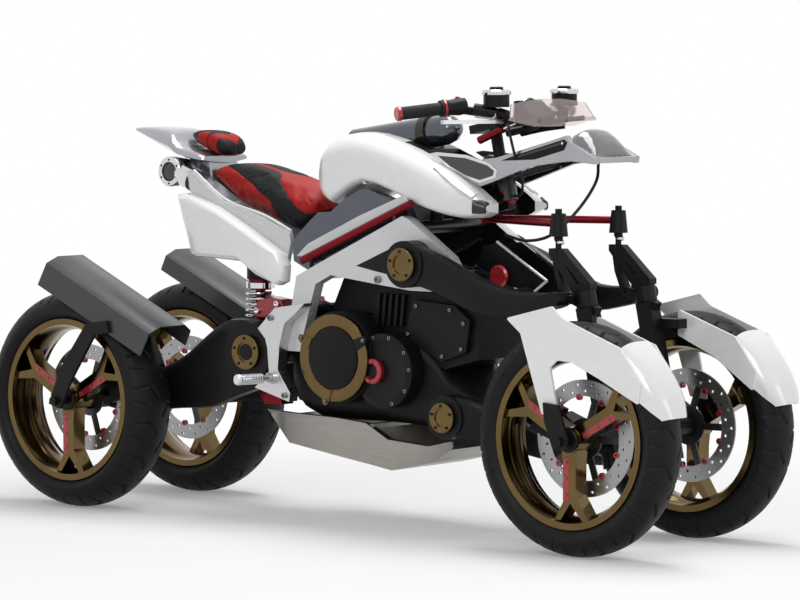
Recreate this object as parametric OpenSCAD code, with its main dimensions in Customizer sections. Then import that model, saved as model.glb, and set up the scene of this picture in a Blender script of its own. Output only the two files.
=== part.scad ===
// Leaning four-wheel motorcycle: two steered wheels in front, two driven wheels behind,
// a narrow bodywork between them and a rider's seat on top.
// +X is forward, +Y is the rider's left, +Z is up. The ground is z = 0, and the origin
// lies under the middle of the vehicle.

/* [Wheels] */
// Distance between the front and the rear axles
wheelbase = 1750; // [1650:10:1850]
// Distance between the middles of the front tyres
front_track = 506; // [496:2:530]
// Distance between the middles of the rear tyres
rear_track = 490; // [480:2:530]
// Radius of a front tyre at its crown
front_tyre_r = 300; // [294:1:306]
// Radius of a rear tyre at its crown
rear_tyre_r = 305; // [299:1:311]
// Width of a front tyre
front_tyre_w = 120; // [114:1:124]
// Width of a rear tyre
rear_tyre_w = 160; // [146:1:164]
// Width of a front rim between its outer faces
front_rim_w = 104; // [96:1:108]
// Width of a rear rim between its outer faces
rear_rim_w = 124; // [114:1:130]
// Height of a front tyre above its bead seat
front_tyre_h = 84; // [80:1:90]
// Height of a rear tyre above its bead seat
rear_tyre_h = 89; // [84:1:94]
// Height of the rim flanges above the bead seat
flange_h = 11; // [9:0.5:13]
// Radius of the stub axles
axle_r = 12; // [10:0.5:14]
// Radius of the brake discs
disc_r = 150; // [140:1:155]

/* [Steering] */
// Rearward lean of the steering axes, in degrees
caster = 12; // [9:0.5:14]
// Distance of each kingpin from the middle of the vehicle
kingpin_y = 131; // [126:1:134]
// Distance that each kingpin axis lies ahead of the front axle, at axle height
kingpin_lead = 4; // [0:1:8]
// Radius of the kingpins
kingpin_r = 12; // [10:0.5:13]
// Rearward throw of the three steering cranks
crank_throw = 55; // [45:1:60]
// Height of the track rods above the ground
rod_z = 838; // [826:1:846]

/* [Bodywork] */
// Half width of the tank cover at its widest
tank_half_w = 165; // [155:1:170]
// Half width of the rider's seat at its widest
seat_half_w = 130; // [120:1:134]
// Distance from the middle to the inner faces of the frame plates
frame_in_y = 150; // [146:1:154]
// Thickness of the frame plates
frame_t = 35; // [28:1:38]
// Half width of the handlebar, to the ends of the grips
bar_half_w = 362; // [345:1:375]

/* [Hidden] */
$fn = 64;

white = [0.93, 0.93, 0.92];
silver = [0.74, 0.75, 0.77];
slate = [0.33, 0.36, 0.42];
black = [0.06, 0.06, 0.065];
grey = [0.25, 0.25, 0.26];
red = [0.62, 0.05, 0.07];
gold = [0.62, 0.47, 0.22];
steel = [0.62, 0.63, 0.64];
clear = [0.8, 0.82, 0.84];

// The origin lies midway between the fender's tip and the back of the rear tyres
fender_gap = 14;
fender_t = 5;
fender_tip_angle = 13;
nose_reach = (front_tyre_r + fender_gap + fender_t) * cos(fender_tip_angle);
front_axle_x = (wheelbase + rear_tyre_r - nose_reach) / 2;
rear_axle_x = front_axle_x - wheelbase;
front_y = front_track / 2;
rear_y = rear_track / 2;
front_bead_r = front_tyre_r - front_tyre_h;
rear_bead_r = rear_tyre_r - rear_tyre_h;
run_gap = 0.05;   // radial clearance of a shaft that turns in its bore
face_gap = 0.5;   // gap between faces that turn past each other
seat_gap = 0.3;   // gap between pieces that rest on each other

// Kingpin axis: where it meets the ground, and its height along the axis for a height z
kingpin_x0 = front_axle_x + kingpin_lead + front_tyre_r * tan(caster);
function along(z) = z / cos(caster);
function kingpin_x(z) = kingpin_x0 - z * tan(caster);

// A steering crank's pin lies behind its axis by the throw, square to the axis
function crank_x(z) = kingpin_x(z) - crank_throw / cos(caster);

// Steering stem axis, parallel to the kingpins
rod_apex_x = 400;
stem_x0 = rod_apex_x + crank_throw / cos(caster) + rod_z * tan(caster);
function stem_x(z) = stem_x0 - z * tan(caster);
crank_s = (rod_z + crank_throw * sin(caster)) / cos(caster);

// Pivots of the suspension arms: x, z and hub radius
upper_pivot = [286, 722];
lower_pivot = [379, 320];
rear_pivot = [-303, 460];
hub_r = 62;
upper_eye_z = 647;
lower_eye_z = 238;
eye_r = 28;
eye_h = 40;
lower_hub_y = [128, 184];

// Shared tools

module both_sides() {
    children();
    mirror([0, 1, 0]) children();
}

// Turns a shape drawn around +Z so that +Z points to the right, -Y
module facing_right() {
    rotate([90, 0, 0]) children();
}

// A plate drawn in x and z, from y_in to y_out on the left side
module side_plate(y_in, y_out) {
    translate([0, y_out, 0]) rotate([90, 0, 0]) linear_extrude(y_out - y_in) children();
}

// Places shapes in the frame of a left kingpin, with +Z up along its axis from the ground
module on_kingpin() {
    translate([kingpin_x0, kingpin_y, 0]) rotate([0, -caster, 0]) children();
}

module on_stem() {
    translate([stem_x0, 0, 0]) rotate([0, -caster, 0]) children();
}

// A round bar between two points
module rod(p, q, r) {
    d = q - p;
    translate(p) rotate([0, acos(d[2] / norm(d)), atan2(d[1], d[0])]) cylinder(r = r, h = norm(d));
}

// A rounded ring of points across x: half width w, from z0 to z1, squareness k, or low in its lower half
function ring(x, y, w, z0, z1, k, n, low = 0) = [for (i = [0 : n - 1])
    let (a = 360 * i / n, c = cos(a), s = sin(a), e = 2 / (s < 0 && low > 0 ? low : k))
    [x, y + w * sign(c) * pow(abs(c), e), (z0 + z1) / 2 + (z1 - z0) / 2 * sign(s) * pow(abs(s), e)]];

// Smooth value between table rows, for column j at place t along row i
function smooth(t, a, b, c, d) =
    b + 0.5 * t * (c - a + t * (2 * a - 5 * b + 4 * c - d + t * (3 * (b - c) + d - a)));
function row_at(rows, i) = rows[max(0, min(len(rows) - 1, i))];
function finer(rows, steps) = [for (i = [0 : len(rows) - 2], s = [0 : steps - 1])
    [for (j = [0 : len(rows[0]) - 1])
        smooth(s / steps, row_at(rows, i - 1)[j], rows[i][j], rows[i + 1][j], row_at(rows, i + 2)[j])],
    rows[len(rows) - 1]];

// A skin over rings of points, closed at both ends. The rings of a sheet run along its outer face
// and back along its inner one, and their ends are closed by a strip.
function turned(v) = [for (i = [len(v) - 1 : -1 : 0]) v[i]];
function end_faces(n, sheet) = sheet ?
    [for (i = [0 : n / 2 - 2]) each [[i, i + 1, n - 2 - i], [i, n - 2 - i, n - 1 - i]]] :
    [[for (i = [0 : n - 1]) i]];
module skin(rings, sheet = false) {
    n = len(rings[0]);
    m = len(rings);
    polyhedron(
        points = [for (r = rings) each r],
        faces = concat(
            end_faces(n, sheet),
            [for (f = end_faces(n, sheet)) [for (i = turned(f)) (m - 1) * n + i]],
            [for (k = [0 : m - 2], i = [0 : n - 1]) let (a = k * n + i, b = k * n + (i + 1) % n) each
                [[a, a + n, b], [b, a + n, b + n]]]));
}

// A body along x from rows of [x, y, half width, z low, z high, squareness, squareness below]
module body(rows, n = 20, steps = 3) {
    skin([for (r = finer(rows, steps)) ring(r[0], r[1], r[2], r[3], r[4], r[5], n, len(r) > 6 ? r[6] : 0)]);
}

// Tyre section: [radius, offset along the axle], from bead to bead over the crown
flange_t = 6;
function tyre_section(r, w, rim_w, bead_r, n = 18) =
    let (lip = rim_w / 2 - flange_t - seat_gap, shoulder = 0.37 * w, flange_r = bead_r + flange_h) concat(
    [[bead_r + seat_gap, -lip], [flange_r + 2, -lip], [flange_r + 4, -lip - 5]],
    [for (i = [0 : n]) let (a = -90 + 180 * i / n)
        [r - shoulder + shoulder * cos(a), w / 2 * sin(a)]],
    [[flange_r + 4, lip + 5], [flange_r + 2, lip], [bead_r + seat_gap, lip]]);

module tyre(r, w, rim_w, bead_r) {
    color(black) rotate_extrude($fn = 96) polygon(tyre_section(r, w, rim_w, bead_r));
}

// Cast wheel around +Z, its spokes on the +Z face: barrel, hub and three forked spokes
barrel_t = 6;
hub_wall_r = 34;
spoke_depth = 46;
module wheel(rim_w, bead_r) {
    h = rim_w / 2;
    flange_r = bead_r + flange_h;
    color(gold) difference() {
        union() {
            rotate_extrude($fn = 96) polygon([
                [bead_r, -h + flange_t], [flange_r, -h + flange_t], [flange_r, -h], [bead_r - barrel_t, -h],
                [bead_r - barrel_t - 2, -h + 14], [bead_r - 20, -h / 3], [bead_r - 20, h / 3],
                [bead_r - barrel_t - 2, h - 14], [bead_r - barrel_t, h], [flange_r, h],
                [flange_r, h - flange_t], [bead_r, h - flange_t], [bead_r - 14 + barrel_t, h / 3],
                [bead_r - 14 + barrel_t, -h / 3]]);
            translate([0, 0, -h + disc_inset + disc_t])
                cylinder(r = hub_wall_r, h = 2 * h - 6 - disc_inset - disc_t);
            for (a = [30, 150, 270]) rotate([0, 0, a]) spoke(h, bead_r - 12);
        }
        translate([0, 0, -h]) cylinder(r = axle_r + run_gap, h = 2 * h);
    }
}

// One spoke along +X: a waisted trunk that forks at the rim, with a long pocket in its face
spoke_half_w = 20;
pocket_depth = 12;
module spoke(h, end_r) {
    top = h - 10;
    fork = end_r - 46;
    difference() {
        translate([0, 0, top - spoke_depth]) linear_extrude(spoke_depth)
            polygon([[0, spoke_half_w + 6], [60, spoke_half_w], [fork - 18, spoke_half_w], [end_r, 62],
                [end_r, -46], [fork, -spoke_half_w], [60, -spoke_half_w], [0, -spoke_half_w - 6]]);
        translate([0, 0, top - pocket_depth]) linear_extrude(pocket_depth + 1)
            polygon([[hub_wall_r + 8, -1], [fork - 8, -3], [fork - 8, 4 - spoke_half_w],
                [hub_wall_r + 8, 4 - spoke_half_w]]);
        translate([0, 0, top - spoke_depth - 1]) linear_extrude(spoke_depth + 2)
            polygon([[fork + 2, 3], [end_r + 1, 42], [end_r + 1, -28]]);
    }
}

// Drilled brake disc around +Z with its carrier, on the inner side of a wheel
disc_t = 5;
disc_holes = 18;
module brake_disc() {
    color(steel) difference() {
        union() {
            difference() {
                cylinder(r = disc_r, h = disc_t, $fn = 96);
                translate([0, 0, -1]) cylinder(r = disc_r - 42, h = disc_t + 2, $fn = 96);
            }
            cylinder(r = 52, h = disc_t);
            for (i = [0 : 4]) rotate([0, 0, 72 * i]) translate([40, -9, 0]) cube([disc_r - 76, 18, disc_t]);
        }
        for (i = [0 : disc_holes - 1], k = [0 : 1]) rotate([0, 0, 360 * (i + k / 2) / disc_holes])
            translate([disc_r - 12 - 17 * k, 0, -1]) cylinder(r = 4, h = disc_t + 2, $fn = 16);
        translate([0, 0, -1]) cylinder(r = axle_r + run_gap, h = disc_t + 2);
    }
}

// Wheel pieces at their places. Each is drawn on the right and mirrored for the left.
disc_inset = 24;
module at_front() { translate([front_axle_x, -front_y, front_tyre_r]) facing_right() children(); }
module at_rear() { translate([rear_axle_x, -rear_y, rear_tyre_r]) facing_right() children(); }
module front_disc() {
    at_front() translate([0, 0, -front_rim_w / 2 + disc_inset]) brake_disc();
}
module rear_disc() {
    at_rear() translate([0, 0, -rear_rim_w / 2 + disc_inset]) brake_disc();
}

// Upright of the left front wheel: kingpin beam, stub axle, forked mast with its ball, fender stays
ball_z = 800;
ball_r = 12;
stay_t = 8;
stay_y = front_y + front_tyre_w / 2 + 10 + fender_t + 3;
leg_in_y = front_y - front_tyre_w / 2 - 10 - fender_t - 3;
axle_end = 10;
bracket_share = 13 / 15;
module upright() {
    low = along(lower_eye_z);
    high = along(upper_eye_z);
    stub_in = kingpin_y - 20;
    boss_end = front_y - front_rim_w / 2 + disc_inset - 8;
    color(black) {
        on_kingpin() {
            translate([0, 0, low - eye_h / 2 - 8]) cylinder(r = kingpin_r, h = high - low + eye_h + 30);
            translate([0, 0, low - eye_h / 2 - 14]) cylinder(r = kingpin_r + 8, h = 14 - face_gap);
            translate([-24, -20, low + eye_h / 2 + face_gap])
                cube([48, 40, high - low - eye_h - 2 * face_gap]);
            translate([-30, -16, high + eye_h / 2 + face_gap]) cube([54, 32, 20]);
        }
        // Stub axle, the boss that carries it and the outer stay of the fender
        translate([front_axle_x, 0, front_tyre_r]) {
            translate([0, boss_end, 0]) rotate([90, 0, 0]) cylinder(r = 30, h = boss_end - stub_in);
            translate([0, stay_y + stay_t + axle_end, 0]) rotate([90, 0, 0])
                cylinder(r = axle_r, h = stay_y + stay_t + axle_end - stub_in);
        }
        side_plate(stay_y, stay_y + stay_t) translate([front_axle_x, front_tyre_r])
            polygon([[-20, -22], [18, -20], [24, 10], [-4, 92], [-52, 96], [-48, 50]]);
        // Bracket to the inner side of the fender
        translate([front_axle_x - 45, kingpin_y + 10, front_tyre_r + bracket_share * front_tyre_r])
            cube([76, leg_in_y - kingpin_y - 10, 24]);
        mast();
        caliper(front_axle_x, front_y - front_rim_w / 2 + disc_inset, front_tyre_r, kingpin_y, 160);
    }
}

// Two legs that rise from the kingpin's upper collar to the ball of the rod joint
module mast() {
    foot_z = upper_eye_z + eye_h / 2 + 14;
    neck_z = ball_z - 34;
    for (leg = [[-22, -14], [22, 12]]) hull() {
        translate([kingpin_x(foot_z) + leg[0], kingpin_y, foot_z]) cube([18, 30, 14], center = true);
        translate([crank_x(ball_z) + leg[1], kingpin_y, neck_z]) cube([16, 26, 16], center = true);
    }
    translate([crank_x(ball_z) - 14, kingpin_y - 11, neck_z - 4]) cube([26, 22, 12]);
    translate([crank_x(ball_z), kingpin_y, neck_z]) cylinder(r = 8, h = ball_z - neck_z);
    translate([crank_x(ball_z), kingpin_y, ball_z]) sphere(r = ball_r);
}

// Brake caliper around a disc's edge at an angle, with the arm that holds it
module caliper(x, y, z, arm_y, angle) {
    mid = disc_r - 24;
    translate([x, y, z]) rotate([0, -angle, 0]) difference() {
        union() {
            translate([mid - 36, -22, -42]) cube([72, 44 - disc_t, 84]);
            translate([30, arm_y - y, -14]) cube([mid - 30, y - arm_y - 14, 28]);
        }
        translate([0, disc_t + 3, 0]) rotate([90, 0, 0]) cylinder(r = disc_r + 4, h = disc_t + 11, $fn = 96);
    }
}

// Front fender of the left wheel: an arched nose over the tyre's front and a panel on each side
fender_in = front_tyre_w / 2 + 10;
panel_t = fender_t + 3 - seat_gap;
// Rows of [angle above level, share of the width, depth of the lower edges below the crown]
function nose_rows() = [
    [54, 1, 52], [45, 1, 64], [36, 1, 70], [27, 0.97, 56], [19, 0.84, 36], [fender_tip_angle, 0.58, 18]];
nose_round = 2 / 3;
function arch(a, w, low, top, n = 12) = [for (i = [0 : n])
    let (t = 180 * i / n, r = low + (top - low) * pow(sin(t), nose_round))
    [r * cos(a), w * sign(cos(t)) * pow(abs(cos(t)), nose_round), r * sin(a)]];
module front_fender() {
    r0 = front_tyre_r + fender_gap;
    color(white) {
        translate([front_axle_x, front_y, front_tyre_r]) skin([for (r = finer(nose_rows(), 2)) concat(
            arch(r[0], fender_in * r[1] + fender_t, r0 - r[2], r0 + fender_t),
            turned(arch(r[0], fender_in * r[1], r0 - r[2], r0)))], sheet = true);
        side_plate(front_y + fender_in + 0.5, front_y + fender_in + panel_t) outer_panel();
        side_plate(front_y - fender_in - panel_t, front_y - fender_in - 0.5) inner_panel();
    }
}

// Outlines of the fender's sides in x and z, with rounded corners
module rounded(r) {
    offset(r) offset(-2 * r) offset(r) children();
}
// The sides are drawn for a crown of this radius, and follow the fender's own
drawn_r = 314;
module outer_panel() {
    translate([front_axle_x, front_tyre_r]) rounded(4, $fn = 16)
        polygon((front_tyre_r + fender_gap) / drawn_r * [[-176, 304], [-32, 340], [2, 310], [182, 244],
            [246, 158], [238, 106], [116, 165], [30, 202],
            [-14, 204], [-36, 184], [-8, 60], [-62, 66], [-130, 268]]);
}
module inner_panel() {
    translate([front_axle_x, front_tyre_r]) rounded(4, $fn = 16)
        polygon((front_tyre_r + fender_gap) / drawn_r * [[2, 308], [182, 244], [246, 158], [238, 106],
            [116, 190], [2, 240]]);
}

// Suspension arms of the left side

// A forged arm from rows of [x, y, half width, z low, z high]
module arm(rows) {
    body([for (r = rows) [r[0], r[1], r[2], r[3], r[4], 5]], n = 16, steps = 3);
}

module eye(z) {
    on_kingpin() translate([0, 0, along(z) - eye_h / 2]) difference() {
        cylinder(r = eye_r, h = eye_h);
        translate([0, 0, -1]) cylinder(r = kingpin_r + run_gap, h = eye_h + 2);
    }
}

arm_hub_y = [frame_in_y + frame_t + seat_gap, frame_in_y + frame_t + 55];
module hub(pivot, r, y0, y1) {
    translate([pivot[0], y1, pivot[1]]) rotate([90, 0, 0]) cylinder(r = r, h = y1 - y0);
}

module upper_arm() {
    ex = kingpin_x(upper_eye_z);
    ez = upper_eye_z;
    y1 = arm_hub_y[0] + 26;
    color(black) {
        difference() {
            union() {
                hub(upper_pivot, hub_r, arm_hub_y[0], arm_hub_y[1]);
                arm([
                    [upper_pivot[0] + 20, y1, 24, upper_pivot[1] - 52, upper_pivot[1] + 54],
                    [upper_pivot[0] + 110, y1, 24, 646, 746],
                    [upper_pivot[0] + 220, y1 - 1, 23, 606, 700],
                    [ex - 200, y1 - 18, 22, 592, 664],
                    [ex - 90, y1 - 22, 22, 612, 662],
                    [ex - 40, y1 - 26, 22, ez - 22, ez + 22]]);
                translate([ex - 43, kingpin_y + 90, ez]) rotate([90, 0, 0]) cylinder(r = 20, h = 56);
                translate([ex - 60, kingpin_y + 4, ez - 12]) cube([46, 44, 22]);
                eye(upper_eye_z);
            }
            on_kingpin() cylinder(r = kingpin_r + run_gap, h = 900);
        }
    }
}

module lower_arm() {
    ex = kingpin_x(lower_eye_z);
    ez = lower_eye_z;
    color(black) difference() {
        union() {
            hub(lower_pivot, 58, lower_hub_y[0], lower_hub_y[1]);
            arm([
                [lower_pivot[0] - 10, 155, 26, 268, 372],
                [lower_pivot[0] + 70, 148, 25, 262, 372],
                [lower_pivot[0] + 160, 104, 24, 244, 330],
                [ex - 270, 66, 20, ez - 20, ez + 44],
                [ex - 140, 72, 20, ez - 22, ez + 22],
                [ex - 55, 102, 20, ez - 19, ez + 8],
                [ex - 8, kingpin_y - 4, 18, ez - 12, ez + 5]]);
            eye(lower_eye_z);
        }
        on_kingpin() cylinder(r = kingpin_r + run_gap, h = 900);
    }
}

rear_arm_y = rear_y - rear_tyre_w / 2 - 37;
module rear_arm() {
    color(black) {
        hub(rear_pivot, 82, arm_in_y, 188);
        arm([
            [rear_axle_x - 34, rear_arm_y, 20, 280, 330],
            [rear_axle_x + 90, rear_arm_y, 22, 266, 356],
            [rear_pivot[0] - 300, rear_arm_y, 23, 284, 420],
            [rear_pivot[0] - 170, 134, 27, 296, 505],
            [rear_pivot[0] - 90, 140, 30, 322, 545],
            [rear_pivot[0] + 20, 140, 30, 360, 545]]);
        // Stub axle, and the stay that carries the hugger on its outer end
        hub([rear_axle_x, rear_tyre_r], axle_r, rear_arm_y, rear_axle_end);
        rod([shock_foot[0], -1, shock_foot[1]], [shock_foot[0], 130, shock_foot[1]], shock_foot_r);
        translate([rear_axle_x, rear_y - rear_rim_w / 2 + 15, rear_tyre_r]) rotate([90, 0, 0])
            cylinder(r = 32, h = rear_y - rear_rim_w / 2 + 15 - rear_arm_y);
        side_plate(rear_stay_y, rear_stay_y + 10) polygon(rear_stay_outline());
        caliper(rear_axle_x, rear_y - rear_rim_w / 2 + disc_inset, rear_tyre_r,
            rear_arm_y, 20);
    }
}

rear_stay_y = rear_y + rear_tyre_w / 2 + 14 + seat_gap;
rear_axle_end = rear_stay_y + 22;
shock_foot = [-420, 500];
shock_foot_r = 18;
// Outline of the stay in shares of the tyre's radius, from the axle up to the hugger
function rear_stay_outline() = [for (p = [[-0.085, -0.033], [0.06, -0.072], [0.197, 0.197], [0.492, 0.623],
        [0.672, 0.656], [0.639, 0.761], [0.393, 0.728], [0.066, 0.302]])
    [rear_axle_x, rear_tyre_r] + rear_tyre_r * p];

// Hugger over the left rear tyre: a folded channel that slopes down towards the front
hugger_slope = 25;
hugger_len = 430;
hugger_rise = rear_tyre_r + 20;
module hugger() {
    w = rear_tyre_w / 2;
    color(grey) translate([rear_axle_x, rear_y, rear_tyre_r]) rotate([0, hugger_slope, 0])
        translate([-205, 0, hugger_rise]) rotate([90, 0, 90]) linear_extrude(hugger_len)
            polygon([[-w - 4, -44], [-w - 4, 2], [-w + 30, 22], [w - 30, 22], [w + 8, 2], [w + 14, -66],
                [w + 9, -66], [w + 3, 0], [w - 32, 17], [-w + 32, 17], [-w + 1, 0], [-w + 1, -44]]);
}

// Frame: side plates with a window, cross tubes, steering head and nose
head_z = [885, 985];
stem_r = 16;
spine_end = [20, 690];
cross_r = 16;
channel_y = 78;
arm_in_y = 110;
function frame_outline() = [[-173, 470], [-110, 470], [-104, 520], [-80, 600], [-62, 655], [-9, 681],
    [147, 663], [266, 650], [394, 650], [477, 621], [400, 742], [260, 838], [237, 846], [-109, 684],
    [-130, 674]];
function frame_window() = [[85, 708], [245, 778], [300, 742], [228, 690]];
module frame() {
    color(silver) {
        both_sides() side_plate(frame_in_y, frame_in_y + frame_t) difference() {
            polygon(frame_outline());
            polygon(frame_window());
        }
        for (p = [[-120, 578, 18], [spine_end[0], spine_end[1], cross_r], [250, 815, 18]])
            translate([p[0], frame_in_y + 1, p[1]]) rotate([90, 0, 0])
                cylinder(r = p[2], h = 2 * frame_in_y + 2);
        // Pivot of the rear arms and the webs that carry it
        hub(rear_pivot, 42, -arm_in_y, arm_in_y);
        both_sides() side_plate(64, 84)
            polygon([[-335, 440], [-335, 500], [-250, 566], [-130, 602], [-95, 592], [-95, 562], [-200, 550],
                [-262, 500], [-270, 440]]);
        // Steering head with its two webs, and the tube that carries the tank cover
        difference() {
            union() {
                on_stem() translate([0, 0, along(head_z[0])])
                    cylinder(r = 30, h = along(head_z[1]) - along(head_z[0]));
                both_sides() skin([
                    ring(236, 50, 12, 800, 900, 4, 12), ring(300, 42, 12, 884, 950, 4, 12),
                    ring(stem_x(930), 14, 10, 900, 968, 4, 12)]);
            }
            on_stem() cylinder(r = stem_r + run_gap, h = 1200);
        }
        rod([252, -channel_y + seat_gap, 884], [252, channel_y - seat_gap, 884], 13);
        // Stays from the head to the cowl's blades
        both_sides() {
            rod([stem_x(948) + 16, 8, 948], [560, 70, 984], 9);
            translate([548, 62, 972]) cube([24, blade_y - 10 - seat_gap - 62, 24]);
        }
        // Nose plates in front of the head, each on a short tube
        both_sides() {
            side_plate(52, 62)
                polygon([[385, 716], [380, 672], [520, 622], [600, 640], [560, 668], [520, 658]]);
            rod([405, 58, 690], [405, frame_in_y + 1, 690], 16);
        }
    }
}

module frame_tubes() {
    y = frame_in_y + frame_t - 10;
    color(red) both_sides() {
        rod([-118, y, 716], [262, y, 880], 11);
        for (p = [[-84, 696], [206, 832]]) translate([p[0], y, p[1] - 8]) cylinder(r = 6, h = 40);
    }
}

// Machined plates around the rear pivot, outside the frame
plate_y = [frame_in_y + frame_t, frame_in_y + frame_t + 37];
module pivot_plates() {
    color(steel) both_sides() side_plate(plate_y[0], plate_y[1])
        polygon([[-176, 588], [-70, 604], [-104, 574], [-142, 546], [-160, 484], [-166, 419], [-122, 359],
            [-126, 335], [-250, 368], [-198, 409], [-204, 479], [-212, 503], [-238, 529]]);
}

peg_len = 112;
module foot_pegs() {
    color(steel) both_sides() translate([-186, plate_y[1], 397]) {
        rotate([-90, 0, 0]) cylinder(r = 16, h = 12);
        translate([0, 6, 0]) rotate([-90, 0, 18]) cylinder(r = 8, h = 36);
    }
    color(steel) both_sides() translate([-186, plate_y[1], 397]) rotate([-90, 0, 18]) {
        translate([0, 0, 30]) cylinder(r = 12, h = peg_len - 34);
        translate([0, 0, peg_len - 6]) cylinder(r = 10, h = 6);
    }
}

// Engine: crankcase, two inclined cylinders, and round covers on both sides
engine_half_w = 140;
engine_low = 286;
clutch_at = [22, 461];
generator_at = [172, 432];
module engine() {
    color(black) {
        body([
            [-250, 0, 58, 380, 520, 6], [-190, 0, 118, 330, 530, 6],
            [-100, 0, engine_half_w, engine_low, 545, 6], [110, 0, engine_half_w, engine_low, 540, 6],
            [260, 0, engine_half_w - 6, 280, 520, 6],
            [340, 0, 124, 264, 420, 6], [440, 0, 110, 270, 370, 6]], n = 24, steps = 2);
        // Cylinders of the V, leaning back and forward
        for (c = [[40, -14], [190, 38]]) translate([c[0], 0, 480]) rotate([0, c[1], 0]) {
            translate([-52, -84, 0]) cube([104, 168, 130]);
            for (k = [0 : 3]) translate([-62 + k, -98 + 2 * k, 36 + 26 * k])
                cube([124 - 2 * k, 196 - 4 * k, 18]);
        }
        both_sides() {
            hub(clutch_at, 124, engine_half_w - 20, 196);
            hub(clutch_at, 84, 190, 214);
            hub(generator_at, 100, engine_half_w - 20, 186);
        }
        hub(lower_pivot, 30, -lower_hub_y[0], lower_hub_y[0]);
    }
}

// Gold caps on the arm pivots and the ring round the clutch cover
cap_t = 12;
module cap(pivot, r, y) {
    difference() {
        hub(pivot, r, y, y + cap_t);
        hub(pivot, r * 0.58, y + cap_t - 4, y + cap_t + 1);
    }
}
module gold_caps() {
    color(gold) {
        both_sides() {
            cap(upper_pivot, 44, arm_hub_y[1]);
            cap(lower_pivot, 40, lower_hub_y[1]);
            cap(rear_pivot, 48, 188);
        }
        both_sides() difference() {
            hub(clutch_at, 118, 196, 210);
            hub(clutch_at, 84.3, 195, 211);
        }
    }
}

// Belly pan: a folded trough under the engine
module belly_pan() {
    color(steel) difference() {
        skin([for (r = [
                // x, half width, z low, z high
                [-292, 120, 288, 300], [-185, 168, 216, 300], [0, 172, 190, 296], [102, 172, 176, 288],
                [175, 168, 164, 248], [298, 150, 192, 236], [352, 120, 232, 250]])
            [[r[0], -r[1], r[3]], [r[0], -r[1] * 0.9, r[2]], [r[0], r[1] * 0.9, r[2]], [r[0], r[1], r[3]]]]);
        skin([for (r = [
                [-330, 112, 306, 330], [-180, 150, 228, 330], [0, 156, 204, 330], [102, 156, 190, 330],
                [172, 152, 178, 330], [290, 136, 204, 330], [400, 110, 250, 330]])
            [[r[0], -r[1], r[3]], [r[0], -r[1] * 0.9, r[2]], [r[0], r[1] * 0.9, r[2]], [r[0], r[1], r[3]]]]);
    }
    color(steel) for (x = [-100, 110])
        translate([x - 10, -160, engine_low - seat_gap - 12]) cube([20, 320, 12]);
}

// Tank cover: one shell over the knees that splits into two noses in front
tube_from = [-70, 1026];
tube_to = [172, 1061];
tube_r = 43;
tube_ring_r = 48;
function tube_len() = norm(tube_to - tube_from);
module on_tube() {
    d = tube_to - tube_from;
    translate([tube_from[0], 0, tube_from[1]]) rotate([0, 90 - atan2(d[1], d[0]), 0]) children();
}
function tank_rows() = [
    // x, y, half width, z low, z high, squareness, squareness below
    [-124, 0, tank_half_w - 69, 900, 986, 2.6, 4], [-102, 0, tank_half_w - 44, 886, 1030, 2.8, 5],
    [-60, 0, tank_half_w - 26, 868, 1054, 3, 6], [0, 0, tank_half_w - 14, 904, 1064, 3, 8],
    [75, 0, tank_half_w - 5, 932, 1060, 3, 8], [180, 0, tank_half_w, 904, 1036, 3, 8],
    [260, 0, tank_half_w, 872, 1006, 3, 8], [330, 0, tank_half_w - 4, 852, 976, 3, 8],
    [400, 0, tank_half_w - 12, 841, 938, 3, 7], [452, 0, tank_half_w - 22, 844, 904, 3, 5],
    [478, 0, tank_half_w - 34, 856, 884, 3, 3]];
// Height of the tank cover's top at a place, along a row or between two rows
function tank_row(x, i = 0) = x <= tank_rows()[i + 1][0] || i == len(tank_rows()) - 2 ?
    let (a = tank_rows()[i], b = tank_rows()[i + 1], t = (x - a[0]) / (b[0] - a[0])) a + t * (b - a) :
    tank_row(x, i + 1);
function tank_top(x, y) = let (r = tank_row(x))
    (r[3] + r[4]) / 2 + (r[4] - r[3]) / 2 * pow(1 - pow(abs(y) / r[2], r[5]), 1 / r[5]);
module tank_cover() {
    color(white) difference() {
        body(tank_rows(), n = 32, steps = 2);
        on_tube() translate([0, 0, -seat_gap]) cylinder(r = tube_r + seat_gap, h = tube_len());
        on_tube() translate([0, 0, tube_len() - 6]) cylinder(r = tube_ring_r + 2, h = 300);
        translate([225, -channel_y, 700]) cube([400, 2 * channel_y, 500]);
        translate([-10, -channel_y, 700]) cube([400, 2 * channel_y, 270]);
    }
}

module tank_panels() {
    color(slate) both_sides() side_plate(116, frame_in_y - seat_gap)
        polygon([[-170, 712], [-174, 764], [-148, 792], [-112, 824], [-84, 846], [-40, 848], [0, 880],
            [62, 912], [96, 912], [190, 880], [225, 860], [238, 832], [120, 780], [-100, 680]]);
}

// A sheet that lies on the tank cover, along x, from angle a0 to a1 of its section
function tank_patch(x, a0, a1, lift, t, n = 6) = let (r = tank_row(x))
    concat(
        [for (i = [0 : n]) ring_point(r, a0 + (a1 - a0) * i / n, lift)],
        [for (i = [n : -1 : 0]) ring_point(r, a0 + (a1 - a0) * i / n, lift + t)]);
function ring_point(r, a, lift) = let (c = cos(a), s = sin(a), e = 2 / (s < 0 ? r[6] : r[5]))
    [r[0], (r[2] + lift) * pow(abs(c), e) * sign(c),
        (r[3] + r[4]) / 2 + ((r[4] - r[3]) / 2 + lift) * pow(abs(s), e) * sign(s)];

// Lamps: a dark lens on the top of each nose and a clear strip round its front
lens_t = 5;
module headlamps() {
    color(clear) both_sides() {
        skin([for (r = [[300, 44, 54], [350, 34, 54], [400, 24, 52], [440, 20, 46]])
            tank_patch(r[0], r[1], r[2], 2, lens_t)]);
        skin([for (r = [[446, -8, 16], [462, -14, 30], [477, -22, 36]])
            tank_patch(r[0], r[1], r[2], 3, lens_t)]);
    }
}

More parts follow.
